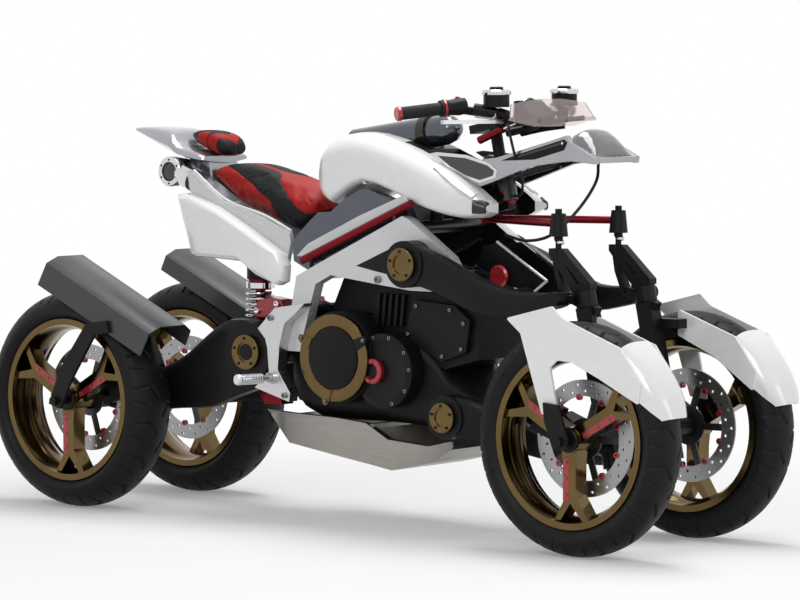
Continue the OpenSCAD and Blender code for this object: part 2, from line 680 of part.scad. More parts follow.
// Front cowl: two blades that rise from the tank cover to a flat visor
blade_y = 88;
function visor_rows() = [[700, 104, 1030, 1040], [760, 104, 1006, 1030], [812, 98, 992, 1008]];
module front_cowl() {
    color(silver) {
        both_sides() side_plate(blade_y - 10, blade_y + 10)
            polygon([for (x = [300, 360, 430]) [x, tank_top(x, blade_y - 10) + 5],
                [470, 936], [518, 946], [713, 1001], [808, 990], [808, 1010], [762, 1028], [746, 1066],
                [649, 1044], [485, 1002], [402, 992], [318, 1004]]);
        slab(visor_rows());
    }
}

// A flat sheet across the vehicle from rows of [x, half width, z low, z high]
module slab(rows) {
    skin([for (r = rows)
        [[r[0], r[1], r[2]], [r[0], r[1], r[3]], [r[0], -r[1], r[3]], [r[0], -r[1], r[2]]]]);
}

// Clear lens over the front of the visor
module cowl_lens() {
    color(clear) slab([[702, 76, 1040.6, 1064], [735, 76, 1035, 1084], [760, 76, 1030.6, 1072],
        [806, 66, 1011.6, 1020]]);
}

// Small screen ahead of the handlebar: an upright pane that leans back
screen_at = [600, 1085];
screen_lean = 20;
module windscreen() {
    color(clear) translate([screen_at[0], 0, screen_at[1]]) rotate([0, -screen_lean, 0])
        rotate([90, 0, 90]) linear_extrude(4)
            polygon([[-185, 18], [-160, 62], [-60, 74], [60, 74], [160, 62], [185, 18], [90, 0], [-90, 0]]);
}

// Seats: crowned pads
function seat_rows() = [
    // x, y, half width, z low, z high, squareness
    [-540, 0, seat_half_w - 60, 930, 956, 2.6], [-500, 0, seat_half_w - 38, 908, 968, 3],
    [-427, 0, seat_half_w - 24, 868, 962, 3.4], [-330, 0, seat_half_w - 12, 838, 938, 3.6],
    [-250, 0, seat_half_w - 6, 810, 914, 3.6], [-190, 0, seat_half_w - 8, 788, 898, 3.6],
    [-152, 0, seat_half_w - 20, 802, 890, 3.4], [-132, 0, seat_half_w - 40, 824, 882, 3]];
module seat() {
    color(red) body(seat_rows(), n = 24, steps = 2);
}
module pillion_seat() {
    color(red) body([
        [-658, 0, 22, 1038, 1052, 3], [-622, 0, 44, 1018, 1060, 3], [-570, 0, 57, 998, 1058, 3],
        [-528, 0, 56, 985, 1046, 3], [-502, 0, 38, 992, 1022, 2.6]], n = 20, steps = 2);
}
module seat_rails() {
    color(silver) both_sides() {
        side_plate(135, frame_in_y)
            polygon([[-558, 948], [-542, 946], [-427, 868], [-285, 828], [-186, 788], [-180, 764],
                [-194, 704], [-330, 780], [-470, 846], [-548, 892]]);
        for (p = [[-470, 860], [-330, 808]]) rod([p[0], spine_half_w, p[1]], [p[0], 136, p[1]], 9);
    }
}
module side_covers() {
    color(white) both_sides() skin([for (r = [
            // share of the outline, distance from the rails
            [1, 0], [1, 16], [0.985, 27], [0.95, 35], [0.88, 41], [0.76, 45]])
        [for (p = side_cover_outline()) let (c = [-350, 770])
            [c[0] + (p[0] - c[0]) * r[0], frame_in_y + r[1], c[1] + (p[1] - c[1]) * r[0]]]]);
}
function side_cover_outline() = [[-572, 884], [-540, 888], [-430, 852], [-314, 796], [-196, 732], [-178, 700],
    [-182, 656], [-206, 645], [-271, 667], [-333, 706], [-500, 714], [-520, 722], [-545, 799], [-566, 862]];

// Tail: a wedge whose sides run together below, and the spine that carries the seats
spine_half_w = 60;
spine_h = 58.6;
module tail_cowl() {
    color(silver) {
        body([
            // x, y, half width, z low, z high, squareness, squareness below
            [-866, 0, 26, 1049, 1062, 5, 1.4], [-800, 0, 56, 1018, 1066, 5, 1.2],
            [-720, 0, 86, 986, 1062, 5, 1.2], [-672, 0, 98, 974, 1050, 5, 1.2],
            [-645, 0, 100, 970, 1018, 5, 1.2], [-570, 0, 100, 962, 998 - seat_gap, 5, 1.2],
            [-550, 0, 92, 968, 988, 5, 1.4]], n = 20, steps = 2);
        body([[-640, 0, spine_half_w - 8, 900, 1000, 5], [-556, 0, spine_half_w - 2, 884, 985, 5],
            [-546, 0, spine_half_w - 2, 876, 926, 5], [-528, 0, spine_half_w - 2, 864, 912, 5]],
            n = 12, steps = 1);
        body([for (r = seat_rows()) [r[0], 0, spine_half_w, r[3] - spine_h, r[3] - seat_gap, 5]],
            n = 12, steps = 2);
        body([[-200, 0, spine_half_w, 700, 740, 5], [-120, 0, spine_half_w, 660, 706, 5],
            [spine_end[0] - cross_r - seat_gap, 0, spine_half_w, 674, 706, 5]], n = 12, steps = 1);
    }
}

silencer_r = 44;
silencer_y = 110;
module silencers() {
    color(steel) both_sides() {
        translate([-570, silencer_y, 922]) rotate([0, -79, 0]) {
            cylinder(r = silencer_r - 4, h = 90);
            translate([0, 0, 70]) difference() {
                cylinder(r = silencer_r, h = 36);
                translate([0, 0, 12]) cylinder(r = silencer_r * 0.6, h = 30);
            }
        }
        translate([-604, spine_half_w - 3.5, 912]) cube([24, 30, 24]);
    }
}

module intake_tube() {
    end = tube_len();
    color(slate) on_tube() rotate_extrude() polygon([
        // radius, distance along the tube
        [0, 0], [tube_r, 0], [tube_r, end], [tube_ring_r, end], [tube_ring_r, end + 26],
        [tube_r - 1, end + 26], [tube_r - 3, end + 70], [tube_r - 10, end + 96],
        [tube_r - 24, end + 112], [0, end + 118]]);
}

// Dampers: one behind the engine, one between the front arms
module rear_shock() {
    foot = shock_foot[1] + shock_foot_r + seat_gap;
    color(red) translate([shock_foot[0], 0, foot]) {
        cylinder(r = 14, h = 284);
        for (k = [0 : 5]) translate([0, 0, 24 + 15 * k]) cylinder(r = 30, h = 9);
        translate([0, 0, 120]) cylinder(r = 34, h = 80);
    }
}
module front_shock() {
    color(red) {
        translate([400, 0, 690]) rotate([0, 104, 0]) {
            cylinder(r = 38, h = 120);
            translate([0, 0, -14]) cylinder(r = 28, h = 150);
        }
        rod([450, -52 + seat_gap, 664], [450, 52 - seat_gap, 664], 12);
    }
}

// Handlebar with stem, crown, crank and screen stays. It turns about the stem axis.
bar_r = 11;
bar_z = 1120;
bar_in = [468, 50, 1086];
bar_bend = [482, 120, bar_z - 2];
grip_in = [442, 250, bar_z + 14];
grip_end = [377, bar_half_w, bar_z];
crown_z = 1070;
crank_t = 14;
crank_gap = 14;
pin_r = 8;
module handlebar() {
    color(black) {
        on_stem() {
            translate([0, 0, crank_s + crank_gap]) cylinder(r = stem_r, h = along(crown_z) - crank_s);
            translate([0, 0, along(head_z[1]) + face_gap]) cylinder(r = 34, h = 16);
            translate([-40, -60, along(crown_z)]) cube([110, 120, 22]);
            // Crank that carries the track rods
            translate([-crank_throw - 16, -16, crank_s + crank_gap]) cube([crank_throw + 30, 32, crank_t]);
            translate([-crank_throw, 0, crank_s - 14]) cylinder(r = pin_r, h = 40);
        }
        both_sides() {
            rod(bar_in, bar_bend, bar_r + 1);
            translate(bar_bend) sphere(r = bar_r + 2);
            rod(bar_bend, grip_in, bar_r);
            translate(grip_in) sphere(r = bar_r + 1);
            rod(grip_in, grip_end, bar_r);
            rod([466, 44, 1084], [screen_at[0] - 4, 60, screen_at[1] + 14], 6);
        }
    }
}
module on_grip() {
    d = grip_end - grip_in;
    translate(grip_in) rotate([0, acos(d[2] / norm(d)), atan2(d[1], d[0])]) children();
}
module grips() {
    len = norm(grip_end - grip_in);
    color(black) both_sides() on_grip() {
        difference() {
            union() {
                translate([0, 0, 14]) cylinder(r = 17, h = len - 14);
                translate([0, 0, 14]) cylinder(r = 22, h = 6);
            }
            cylinder(r = bar_r + seat_gap, h = len + 1);
        }
        translate([0, 0, len]) cylinder(r = 15, h = 12);
    }
}

// Levers with their master cylinders, clamped to the bar
reservoir_at = [523, 147];
reservoir_z = 1136;
module controls() {
    color(grey) both_sides() {
        rod([462, 152, 1121], [530, 147, 1116], 14);
        translate([reservoir_at[0], reservoir_at[1], 1112]) cylinder(r = 9, h = reservoir_z - 1112);
        translate([0, 0, 1094]) linear_extrude(10)
            polygon([[520, 138], [546, 146], [544, 190], [512, 262], [494, 330], [484, 330], [498, 258],
                [524, 190]]);
    }
}
module reservoirs() {
    color(black) both_sides() translate([reservoir_at[0], reservoir_at[1], reservoir_z]) {
        cylinder(r = 34, h = 34);
        translate([0, 0, 34]) cylinder(r = 37, h = 8);
    }
}

// Track rods: one red V that joins the crank to the joints of both masts
module track_rods() {
    color(red) difference() {
        union() {
            both_sides() rod([rod_apex_x + 4, 22, rod_z], [crank_x(ball_z) - 12, kingpin_y - 4, rod_z], 10);
            on_stem() translate([-crank_throw - 16, -34, crank_s - 10]) cube([32, 68, 20]);
        }
        on_stem() translate([-crank_throw, 0, crank_s - 60]) cylinder(r = pin_r + run_gap, h = 120);
    }
}

// Tapered housings over the masts' balls, at the outer ends of the rods
end_z = [ball_z + 5, 876];
module rod_ends() {
    color(black) both_sides() difference() {
        translate([crank_x(ball_z), kingpin_y, 0]) {
            translate([0, 0, end_z[0]]) cylinder(r1 = 25, r2 = 19, h = end_z[1] - end_z[0] - 12);
            translate([0, 0, end_z[1] - 13]) cylinder(r = 9, h = 13);
        }
        translate([crank_x(ball_z), kingpin_y, ball_z]) sphere(r = ball_r + seat_gap);
    }
}

frame();
frame_tubes();
pivot_plates();
foot_pegs();
engine();
gold_caps();
belly_pan();
tank_cover();
tank_panels();
headlamps();
front_cowl();
cowl_lens();
windscreen();
seat();
pillion_seat();
seat_rails();
side_covers();
tail_cowl();
silencers();
intake_tube();
both_sides() upper_arm();  // upper_arms
both_sides() lower_arm();  // lower_arms
both_sides() rear_arm();  // rear_arms
rear_shock();
front_shock();
both_sides() hugger();  // rear_huggers
handlebar();
grips();
controls();
reservoirs();
track_rods();
rod_ends();
mirror([0, 1, 0]) upright();  // upright_right
upright();  // upright_left
mirror([0, 1, 0]) front_fender();  // front_fender_right
front_fender();  // front_fender_left
at_front() tyre(front_tyre_r, front_tyre_w, front_rim_w, front_bead_r);  // front_tyre_right
mirror([0, 1, 0]) at_front() tyre(front_tyre_r, front_tyre_w, front_rim_w, front_bead_r);  // front_tyre_left
at_rear() tyre(rear_tyre_r, rear_tyre_w, rear_rim_w, rear_bead_r);  // rear_tyre_right
mirror([0, 1, 0]) at_rear() tyre(rear_tyre_r, rear_tyre_w, rear_rim_w, rear_bead_r);  // rear_tyre_left
at_front() wheel(front_rim_w, front_bead_r);  // front_wheel_right
mirror([0, 1, 0]) at_front() wheel(front_rim_w, front_bead_r);  // front_wheel_left
at_rear() wheel(rear_rim_w, rear_bead_r);  // rear_wheel_right
mirror([0, 1, 0]) at_rear() wheel(rear_rim_w, rear_bead_r);  // rear_wheel_left
front_disc();  // front_disc_right
mirror([0, 1, 0]) front_disc();  // front_disc_left
rear_disc();  // rear_disc_right
mirror([0, 1, 0]) rear_disc();  // rear_disc_left
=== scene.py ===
# %% [markdown]
# # Dressing a leaning four-wheel motorcycle
# The solids of this vehicle come from CAD, already joined into bodies that steer and roll. This
# script keeps them where they are and gives them what a photograph shows: paint, metal, rubber,
# leather, tread and small trim. All lengths are metres, +X is forward and +Y is the rider's left.

# %% Frame and tools
import math

import bmesh
import bpy
import numpy as np
from mathutils import Matrix, Vector


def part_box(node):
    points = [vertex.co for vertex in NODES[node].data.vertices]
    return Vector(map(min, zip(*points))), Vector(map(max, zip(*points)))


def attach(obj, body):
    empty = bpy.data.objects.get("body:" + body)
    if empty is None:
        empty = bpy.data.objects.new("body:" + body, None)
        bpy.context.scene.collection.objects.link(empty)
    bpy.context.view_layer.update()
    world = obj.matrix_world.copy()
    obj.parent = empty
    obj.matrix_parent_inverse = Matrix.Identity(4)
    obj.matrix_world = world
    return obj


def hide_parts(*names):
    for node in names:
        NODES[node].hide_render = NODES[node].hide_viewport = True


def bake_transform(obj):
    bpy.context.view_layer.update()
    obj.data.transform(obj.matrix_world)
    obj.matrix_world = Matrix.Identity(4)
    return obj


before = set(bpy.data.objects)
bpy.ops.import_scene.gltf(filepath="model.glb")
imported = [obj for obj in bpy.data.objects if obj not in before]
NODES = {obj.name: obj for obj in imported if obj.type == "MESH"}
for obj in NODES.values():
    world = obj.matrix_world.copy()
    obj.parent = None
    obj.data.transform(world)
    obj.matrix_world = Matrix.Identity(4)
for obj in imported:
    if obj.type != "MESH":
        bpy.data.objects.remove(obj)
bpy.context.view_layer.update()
SIDES = {"right": -1, "left": 1}
MM = 0.001

# %% [markdown]
# ## Camera
# The picture was taken from the front right with a long lens, a little above axle height. A long
# lens keeps the four wheels nearly the same size. The numbers were worked out from the wheels'
# outlines in the photograph.

# %% Camera
EYE = Vector((6.794, -8.250, 1.299))
TARGET = Vector((0.048, 0.040, 0.605))
LENS_MM = 177.3
camera_data = bpy.data.cameras.new("photo_camera")
camera_data.lens = LENS_MM
camera_data.sensor_width = 36
camera_data.sensor_fit = "HORIZONTAL"
camera = bpy.data.objects.new("photo_camera", camera_data)
camera.location = EYE
camera.rotation_euler = (TARGET - EYE).to_track_quat("-Z", "Y").to_euler()
bpy.context.scene.collection.objects.link(camera)
bpy.context.scene.camera = camera
print("camera", round((TARGET - EYE).length, 2), "m away")

# %% [markdown]
# ## Studio
# The photograph has a white room and a soft shadow. The floor is white paper that also glows for
# the camera and for reflections: a little under the vehicle, so that the tyres still shade it, and
# fully a few metres away, so that no horizon shows. One broad lamp hangs overhead, a little to the
# far side, so that the soft shadow falls towards the camera. Two more lamps fill the sides.

# %% Studio
FLOOR_HALF, FLOOR_DROP = 30, 0.0005
scene = bpy.context.scene
scene.view_settings.view_transform = "Standard"


def seen_rays(tree):
    """A value that is 1 for rays from the camera, from mirrors and through glass."""
    path = tree.nodes.new("ShaderNodeLightPath")
    total = None
    for ray in ("Is Camera Ray", "Is Glossy Ray", "Is Transmission Ray"):
        if total is None:
            total = path.outputs[ray]
            continue
        most = tree.nodes.new("ShaderNodeMath")
        most.operation = "MAXIMUM"
        tree.links.new(total, most.inputs[0])
        tree.links.new(path.outputs[ray], most.inputs[1])
        total = most.outputs[0]
    return total


def white_world(sky_light):
    """A white sky that looks full white but lights the scene with the strength sky_light."""
    world = bpy.data.worlds.new("white_room")
    world.use_nodes = True
    scene.world = world
    tree = world.node_tree
    strength = tree.nodes.new("ShaderNodeMix")
    strength.data_type = "FLOAT"
    strength.inputs["A"].default_value = sky_light
    strength.inputs["B"].default_value = 1.0
    tree.links.new(seen_rays(tree), strength.inputs["Factor"])
    background = tree.nodes["Background"]
    background.inputs["Color"].default_value = (1, 1, 1, 1)
    tree.links.new(strength.outputs["Result"], background.inputs["Strength"])


def paper_floor(glow, near, far):
    """A white floor whose glow grows from glow at the distance near to 1 at the distance far."""
    material = bpy.data.materials.new("paper_floor")
    material.use_nodes = True
    tree = material.node_tree
    tree.nodes.remove(tree.nodes["Principled BSDF"])
    paper = tree.nodes.new("ShaderNodeBsdfDiffuse")
    paper.inputs["Color"].default_value = (0.95, 0.95, 0.95, 1)
    light = tree.nodes.new("ShaderNodeEmission")
    place = tree.nodes.new("ShaderNodeTexCoord")
    distance = tree.nodes.new("ShaderNodeVectorMath")
    distance.operation = "LENGTH"
    tree.links.new(place.outputs["Object"], distance.inputs[0])
    growth = tree.nodes.new("ShaderNodeMapRange")
    growth.interpolation_type = "SMOOTHSTEP"
    for socket, value in (("From Min", near), ("From Max", far), ("To Min", glow), ("To Max", 1.0)):
        growth.inputs[socket].default_value = value
    tree.links.new(distance.outputs["Value"], growth.inputs["Value"])
    share = tree.nodes.new("ShaderNodeMath")
    share.operation = "MULTIPLY"
    tree.links.new(seen_rays(tree), share.inputs[0])
    tree.links.new(growth.outputs["Result"], share.inputs[1])
    mix = tree.nodes.new("ShaderNodeMixShader")
    tree.links.new(share.outputs[0], mix.inputs["Fac"])
    tree.links.new(paper.outputs[0], mix.inputs[1])
    tree.links.new(light.outputs[0], mix.inputs[2])
    tree.links.new(mix.outputs[0], tree.nodes["Material Output"].inputs["Surface"])
    half = FLOOR_HALF
    mesh = bpy.data.meshes.new("paper_floor")
    mesh.from_pydata([(-half, -half, 0), (half, -half, 0), (half, half, 0), (-half, half, 0)], [],
                     [(0, 1, 2, 3)])
    floor = bpy.data.objects.new("paper_floor", mesh)
    floor.location.z = -FLOOR_DROP
    mesh.materials.append(material)
    scene.collection.objects.link(floor)


white_world(sky_light=0.38)
paper_floor(glow=0.22, near=0.9, far=2.6)
print("white room with a floor", 2 * FLOOR_HALF, "m wide")

# %% Lamps


def soft_lamp(name, place, aim, size, watts):
    """A rectangular lamp at a place, turned to face the point aim."""
    data = bpy.data.lights.new(name, "AREA")
    data.shape = "RECTANGLE"
    data.size, data.size_y = size
    data.energy = watts
    lamp = bpy.data.objects.new(name, data)
    lamp.location = place
    lamp.rotation_euler = (Vector(aim) - Vector(place)).to_track_quat("-Z", "Y").to_euler()
    scene.collection.objects.link(lamp)


soft_lamp("overhead", (0.3, 0.5, 4.2), (0, 0, 0.4), (3.4, 1.2), 110)
soft_lamp("key", (2.4, -5.0, 3.6), (0, 0, 0.6), (2.6, 1.8), 80)
soft_lamp("front_fill", (6.0, 1.6, 2.2), (0, 0, 0.6), (2.5, 2.0), 30)
print("lamps", len(bpy.data.lights))

# %% [markdown]
# ## Shared surface effects
# Real surfaces are never one flat colour. These node groups make small changes of tone, gloss and
# height from three-dimensional noise, in metres, so they keep the same scale on every piece.
# *Fine grain* is for paint, castings and rubber, *brushed grain* has its noise drawn out along one
# direction, *turned grain* runs in rings about an axle, and *leather grain* has small cells.

# %% Node group helpers
NOISE_RANGE = (0.3, 0.7)


def new_group(name, inputs, outputs):
    """A new shader group with its sockets, and the nodes where it starts and ends."""
    group = bpy.data.node_groups.new(name, "ShaderNodeTree")
    for socket, kind, value in inputs:
        made = group.interface.new_socket(socket, in_out="INPUT", socket_type=kind)
        made.default_value = value
    for socket, kind in outputs:
        group.interface.new_socket(socket, in_out="OUTPUT", socket_type=kind)
    return group, group.nodes.new("NodeGroupInput"), group.nodes.new("NodeGroupOutput")


def math_node(tree, operation, a, b=None):
    """The result of a sum on one or two values, each a number or the output of a node."""
    node = tree.nodes.new("ShaderNodeMath")
    node.operation = operation
    for socket, value in zip(node.inputs, (a, b)):
        if isinstance(value, (int, float)):
            socket.default_value = value
        elif value is not None:
            tree.links.new(value, socket)
    return node.outputs[0]


def colour_mix(tree, factor, a, b):
    """Colour a where the factor is 0 and colour b where it is 1."""
    node = tree.nodes.new("ShaderNodeMix")
    node.data_type = "RGBA"
    tree.links.new(factor, node.inputs[0])
    for socket, value in ((node.inputs[6], a), (node.inputs[7], b)):
        if isinstance(value, tuple):
            socket.default_value = (*value, 1)
        else:
            tree.links.new(value, socket)
    return node.outputs[2]


def noise_node(tree, vector, scale, detail=3.0):
    node = tree.nodes.new("ShaderNodeTexNoise")
    node.inputs["Detail"].default_value = detail
    tree.links.new(vector, node.inputs["Vector"])
    if isinstance(scale, (int, float)):
        node.inputs["Scale"].default_value = scale
    else:
        tree.links.new(scale, node.inputs["Scale"])
    return node.outputs["Fac"]


def between(tree, factor, low, high):
    """Spreads the middle range of a noise over the values from low to high."""
    node = tree.nodes.new("ShaderNodeMapRange")
    tree.links.new(factor, node.inputs["Value"])
    tree.links.new(low, node.inputs["To Min"])
    tree.links.new(high, node.inputs["To Max"])
    node.inputs["From Min"].default_value, node.inputs["From Max"].default_value = NOISE_RANGE
    return node.outputs["Result"]


TONES = [("Dark", "NodeSocketColor", (0, 0, 0, 1)), ("Light", "NodeSocketColor", (1, 1, 1, 1)),
         ("Low gloss", "NodeSocketFloat", 0.5), ("High gloss", "NodeSocketFloat", 0.3)]
RESULTS = [("Colour", "NodeSocketColor"), ("Roughness", "NodeSocketFloat"),
           ("Height", "NodeSocketFloat")]


def finish_group(tree, given, result, broad, fine):
    """Ends a grain group: tone and gloss follow the broad noise, height follows the fine one."""
    colour = colour_mix(tree, broad, given.outputs["Dark"], given.outputs["Light"])
    rough = between(tree, broad, given.outputs["High gloss"], given.outputs["Low gloss"])
    tree.links.new(colour, result.inputs["Colour"])
    tree.links.new(rough, result.inputs["Roughness"])
    tree.links.new(fine, result.inputs["Height"])


def place_of(tree):
    """The place of a point on the object, in metres."""
    return tree.nodes.new("ShaderNodeTexCoord").outputs["Object"]


print("each grain gives", ", ".join(name for name, kind in RESULTS))

# %% Fine grain and brushed grain
fine_grain, given, result = new_group("fine grain", [("Scale", "NodeSocketFloat", 900.0)] + TONES, RESULTS)
finish_group(fine_grain, given, result, noise_node(fine_grain, place_of(fine_grain), 9.0),
             noise_node(fine_grain, place_of(fine_grain), given.outputs["Scale"], 2.0))

brushed_grain, given, result = new_group(
    "brushed grain", [("Stretch", "NodeSocketVector", (12.0, 600.0, 600.0))] + TONES, RESULTS)
stretched = brushed_grain.nodes.new("ShaderNodeVectorMath")
stretched.operation = "MULTIPLY"
brushed_grain.links.new(place_of(brushed_grain), stretched.inputs[0])
brushed_grain.links.new(given.outputs["Stretch"], stretched.inputs[1])
streaks = noise_node(brushed_grain, stretched.outputs[0], 1.0, 4.0)
finish_group(brushed_grain, given, result, streaks, streaks)
print("fine grain and brushed grain")

# %% Turned grain and leather grain
turned_grain, given, result = new_group(
    "turned grain", [("Centre", "NodeSocketVector", (0.0, 0.0, 0.0))] + TONES,
    RESULTS + [("Radius", "NodeSocketFloat"), ("Angle", "NodeSocketFloat")])
from_axle = turned_grain.nodes.new("ShaderNodeVectorMath")
from_axle.operation = "SUBTRACT"
turned_grain.links.new(place_of(turned_grain), from_axle.inputs[0])
turned_grain.links.new(given.outputs["Centre"], from_axle.inputs[1])
parts = turned_grain.nodes.new("ShaderNodeSeparateXYZ")
turned_grain.links.new(from_axle.outputs[0], parts.inputs[0])
radius = math_node(turned_grain, "SQRT", math_node(
    turned_grain, "ADD", math_node(turned_grain, "MULTIPLY", parts.outputs[0], parts.outputs[0]),
    math_node(turned_grain, "MULTIPLY", parts.outputs[2], parts.outputs[2])))
angle = math_node(turned_grain, "ARCTAN2", parts.outputs[2], parts.outputs[0])
rings = turned_grain.nodes.new("ShaderNodeCombineXYZ")
turned_grain.links.new(math_node(turned_grain, "MULTIPLY", radius, 900.0), rings.inputs[0])
turned_grain.links.new(math_node(turned_grain, "MULTIPLY", angle, 0.6), rings.inputs[1])
ring_noise = noise_node(turned_grain, rings.outputs[0], 1.0)
finish_group(turned_grain, given, result, ring_noise, ring_noise)
turned_grain.links.new(radius, result.inputs["Radius"])
turned_grain.links.new(angle, result.inputs["Angle"])

leather_grain, given, result = new_group(
    "leather grain", [("Scale", "NodeSocketFloat", 650.0)] + TONES, RESULTS)
cells = leather_grain.nodes.new("ShaderNodeTexVoronoi")
cells.feature = "DISTANCE_TO_EDGE"
leather_grain.links.new(place_of(leather_grain), cells.inputs["Vector"])
leather_grain.links.new(given.outputs["Scale"], cells.inputs["Scale"])
pebbles = math_node(leather_grain, "MINIMUM", cells.outputs["Distance"], 0.25)
finish_group(leather_grain, given, result, noise_node(leather_grain, place_of(leather_grain), 14.0), pebbles)
print("shader groups", len(bpy.data.node_groups))

# %% [markdown]
# ## Materials
# Each finish takes one of the grains and its own two tones. Paint has a clear coat over it,
# anodised parts are metal with a deep colour, castings are dull with a visible grain, and lenses
# let light through.

# %% Materials
BUMP_HEIGHT = 0.0004


def finish(name, grain, dark, light, gloss, bump=0.0, grain_value=None, **shader):
    """A Principled material whose colour, roughness and bump come from a grain group."""
    material = bpy.data.materials.new(name)
    material.use_nodes = True
    tree = material.node_tree
    group = tree.nodes.new("ShaderNodeGroup")
    group.node_tree = grain
    group.inputs["Dark"].default_value = (*dark, 1)
    group.inputs["Light"].default_value = (*light, 1)
    group.inputs["High gloss"].default_value, group.inputs["Low gloss"].default_value = gloss
    if grain_value is not None:
        group.inputs[0].default_value = grain_value
    bsdf = tree.nodes["Principled BSDF"]
    tree.links.new(group.outputs["Colour"], bsdf.inputs["Base Color"])
    tree.links.new(group.outputs["Roughness"], bsdf.inputs["Roughness"])
    if bump:
        height = tree.nodes.new("ShaderNodeBump")
        height.inputs["Strength"].default_value = bump
        height.inputs["Distance"].default_value = BUMP_HEIGHT
        tree.links.new(group.outputs["Height"], height.inputs["Height"])
        tree.links.new(height.outputs["Normal"], bsdf.inputs["Normal"])
    for socket, value in shader.items():
        bsdf.inputs[socket.replace("_", " ")].default_value = value
    return material


PEARL = finish("pearl white", fine_grain, (0.79, 0.795, 0.80), (0.85, 0.85, 0.845), (0.22, 0.30),
               Coat_Weight=1.0, Coat_Roughness=0.05)
FRAME_SILVER = finish("silver white lacquer", fine_grain, (0.53, 0.54, 0.555), (0.62, 0.625, 0.63),
                      (0.25, 0.33), Metallic=0.3, Coat_Weight=0.8, Coat_Roughness=0.08)
COWL_SILVER = finish("bright silver lacquer", fine_grain, (0.30, 0.31, 0.33), (0.42, 0.43, 0.45),
                     (0.18, 0.26), Metallic=0.85, Coat_Weight=0.6, Coat_Roughness=0.05)
MACHINED = finish("milled aluminium", brushed_grain, (0.46, 0.46, 0.47), (0.64, 0.64, 0.65), (0.22, 0.34),
                  bump=0.05, Metallic=1.0)
BRUSHED = finish("brushed titanium", brushed_grain, (0.26, 0.245, 0.22), (0.42, 0.405, 0.38), (0.28, 0.42),
                 bump=0.06, grain_value=(14.0, 300.0, 300.0), Metallic=1.0)
SATIN_BLACK = finish("satin black casting", fine_grain, (0.0045, 0.0045, 0.005), (0.0085, 0.0085, 0.009),
                     (0.34, 0.46), bump=0.08, grain_value=1100.0, Specular_IOR_Level=0.16)
ENGINE_BLACK = finish("matt engine black", fine_grain, (0.004, 0.004, 0.0045), (0.0075, 0.0075, 0.0075),
                      (0.40, 0.54), bump=0.12, grain_value=900.0, Specular_IOR_Level=0.15)
GOLD = finish("bronze gold", fine_grain, (0.095, 0.062, 0.024), (0.175, 0.121, 0.052), (0.14, 0.22),
              bump=0.03, grain_value=700.0, Metallic=1.0)
RED = finish("red anodised", fine_grain, (0.13, 0.003, 0.008), (0.20, 0.006, 0.013), (0.22, 0.32),
             Metallic=0.85)
BRIGHT_RED = finish("bright red lacquer", fine_grain, (0.32, 0.010, 0.016), (0.42, 0.018, 0.024),
                    (0.25, 0.34), Metallic=0.3, Coat_Weight=0.5)
SLATE = finish("slate lacquer", fine_grain, (0.050, 0.057, 0.072), (0.090, 0.100, 0.122), (0.16, 0.24),
               Metallic=0.75, Coat_Weight=0.7, Coat_Roughness=0.05)
CHROME = finish("polished chrome", fine_grain, (0.56, 0.56, 0.575), (0.70, 0.70, 0.715), (0.05, 0.11),
                Metallic=1.0)
BOLT_STEEL = finish("bolt steel", fine_grain, (0.15, 0.15, 0.155), (0.24, 0.24, 0.245), (0.22, 0.32),
                    Metallic=1.0)
DARK_GREY = finish("dark grey lacquer", fine_grain, (0.028, 0.029, 0.031), (0.046, 0.047, 0.050),
                   (0.28, 0.38), Metallic=0.4, Coat_Weight=0.3, Coat_Roughness=0.15)
GRIP_RUBBER = finish("grip rubber", leather_grain, (0.006, 0.006, 0.007), (0.012, 0.012, 0.013),
                     (0.55, 0.70), bump=0.3, grain_value=380.0, Specular_IOR_Level=0.25)
TYRE_RUBBER = finish("tyre rubber", fine_grain, (0.0045, 0.0045, 0.005), (0.0085, 0.0085, 0.009),
                     (0.42, 0.56), bump=0.10, grain_value=600.0, Specular_IOR_Level=0.17)
HOSE_RUBBER = finish("hose rubber", fine_grain, (0.007, 0.007, 0.0075), (0.012, 0.012, 0.012),
                     (0.40, 0.52), Specular_IOR_Level=0.3)
RED_LEATHER = finish("red leather", leather_grain, (0.27, 0.006, 0.006), (0.38, 0.013, 0.010), (0.44, 0.56),
                     bump=0.25, Specular_IOR_Level=0.2)
BLACK_LEATHER = finish("black leather", leather_grain, (0.0045, 0.005, 0.006), (0.009, 0.0095, 0.0105),
                       (0.50, 0.62), bump=0.25, Specular_IOR_Level=0.16)
WHITE_PIPING = finish("white piping", fine_grain, (0.72, 0.72, 0.72), (0.80, 0.80, 0.80), (0.35, 0.45))
SMOKED = finish("smoked lens", fine_grain, (0.030, 0.031, 0.033), (0.055, 0.057, 0.060), (0.03, 0.07),
                Transmission_Weight=0.35, IOR=1.45, Coat_Weight=0.5)
GREY_LENS = finish("grey lens", fine_grain, (0.22, 0.225, 0.235), (0.30, 0.305, 0.315), (0.04, 0.09),
                   Transmission_Weight=0.5, IOR=1.45, Coat_Weight=0.6)
SCREEN = finish("tinted screen", fine_grain, (0.86, 0.74, 0.74), (0.92, 0.82, 0.82), (0.06, 0.12),
                Transmission_Weight=0.88, IOR=1.3)
print("materials", len(bpy.data.materials))

# %% [markdown]
# ## Dressing the solids
# A solid from CAD has knife-sharp edges, and nothing made in a workshop has them. A small node tool
# joins the corners of the imported mesh and marks edges by their angle, then a bevel rounds them,
# so that each edge catches a thin line of light. The solids' own points stay as they are.

# %% Joined corners
JOIN_DISTANCE, SHARP_DEGREES, BEVEL_DEGREES = 0.00002, 32, 34


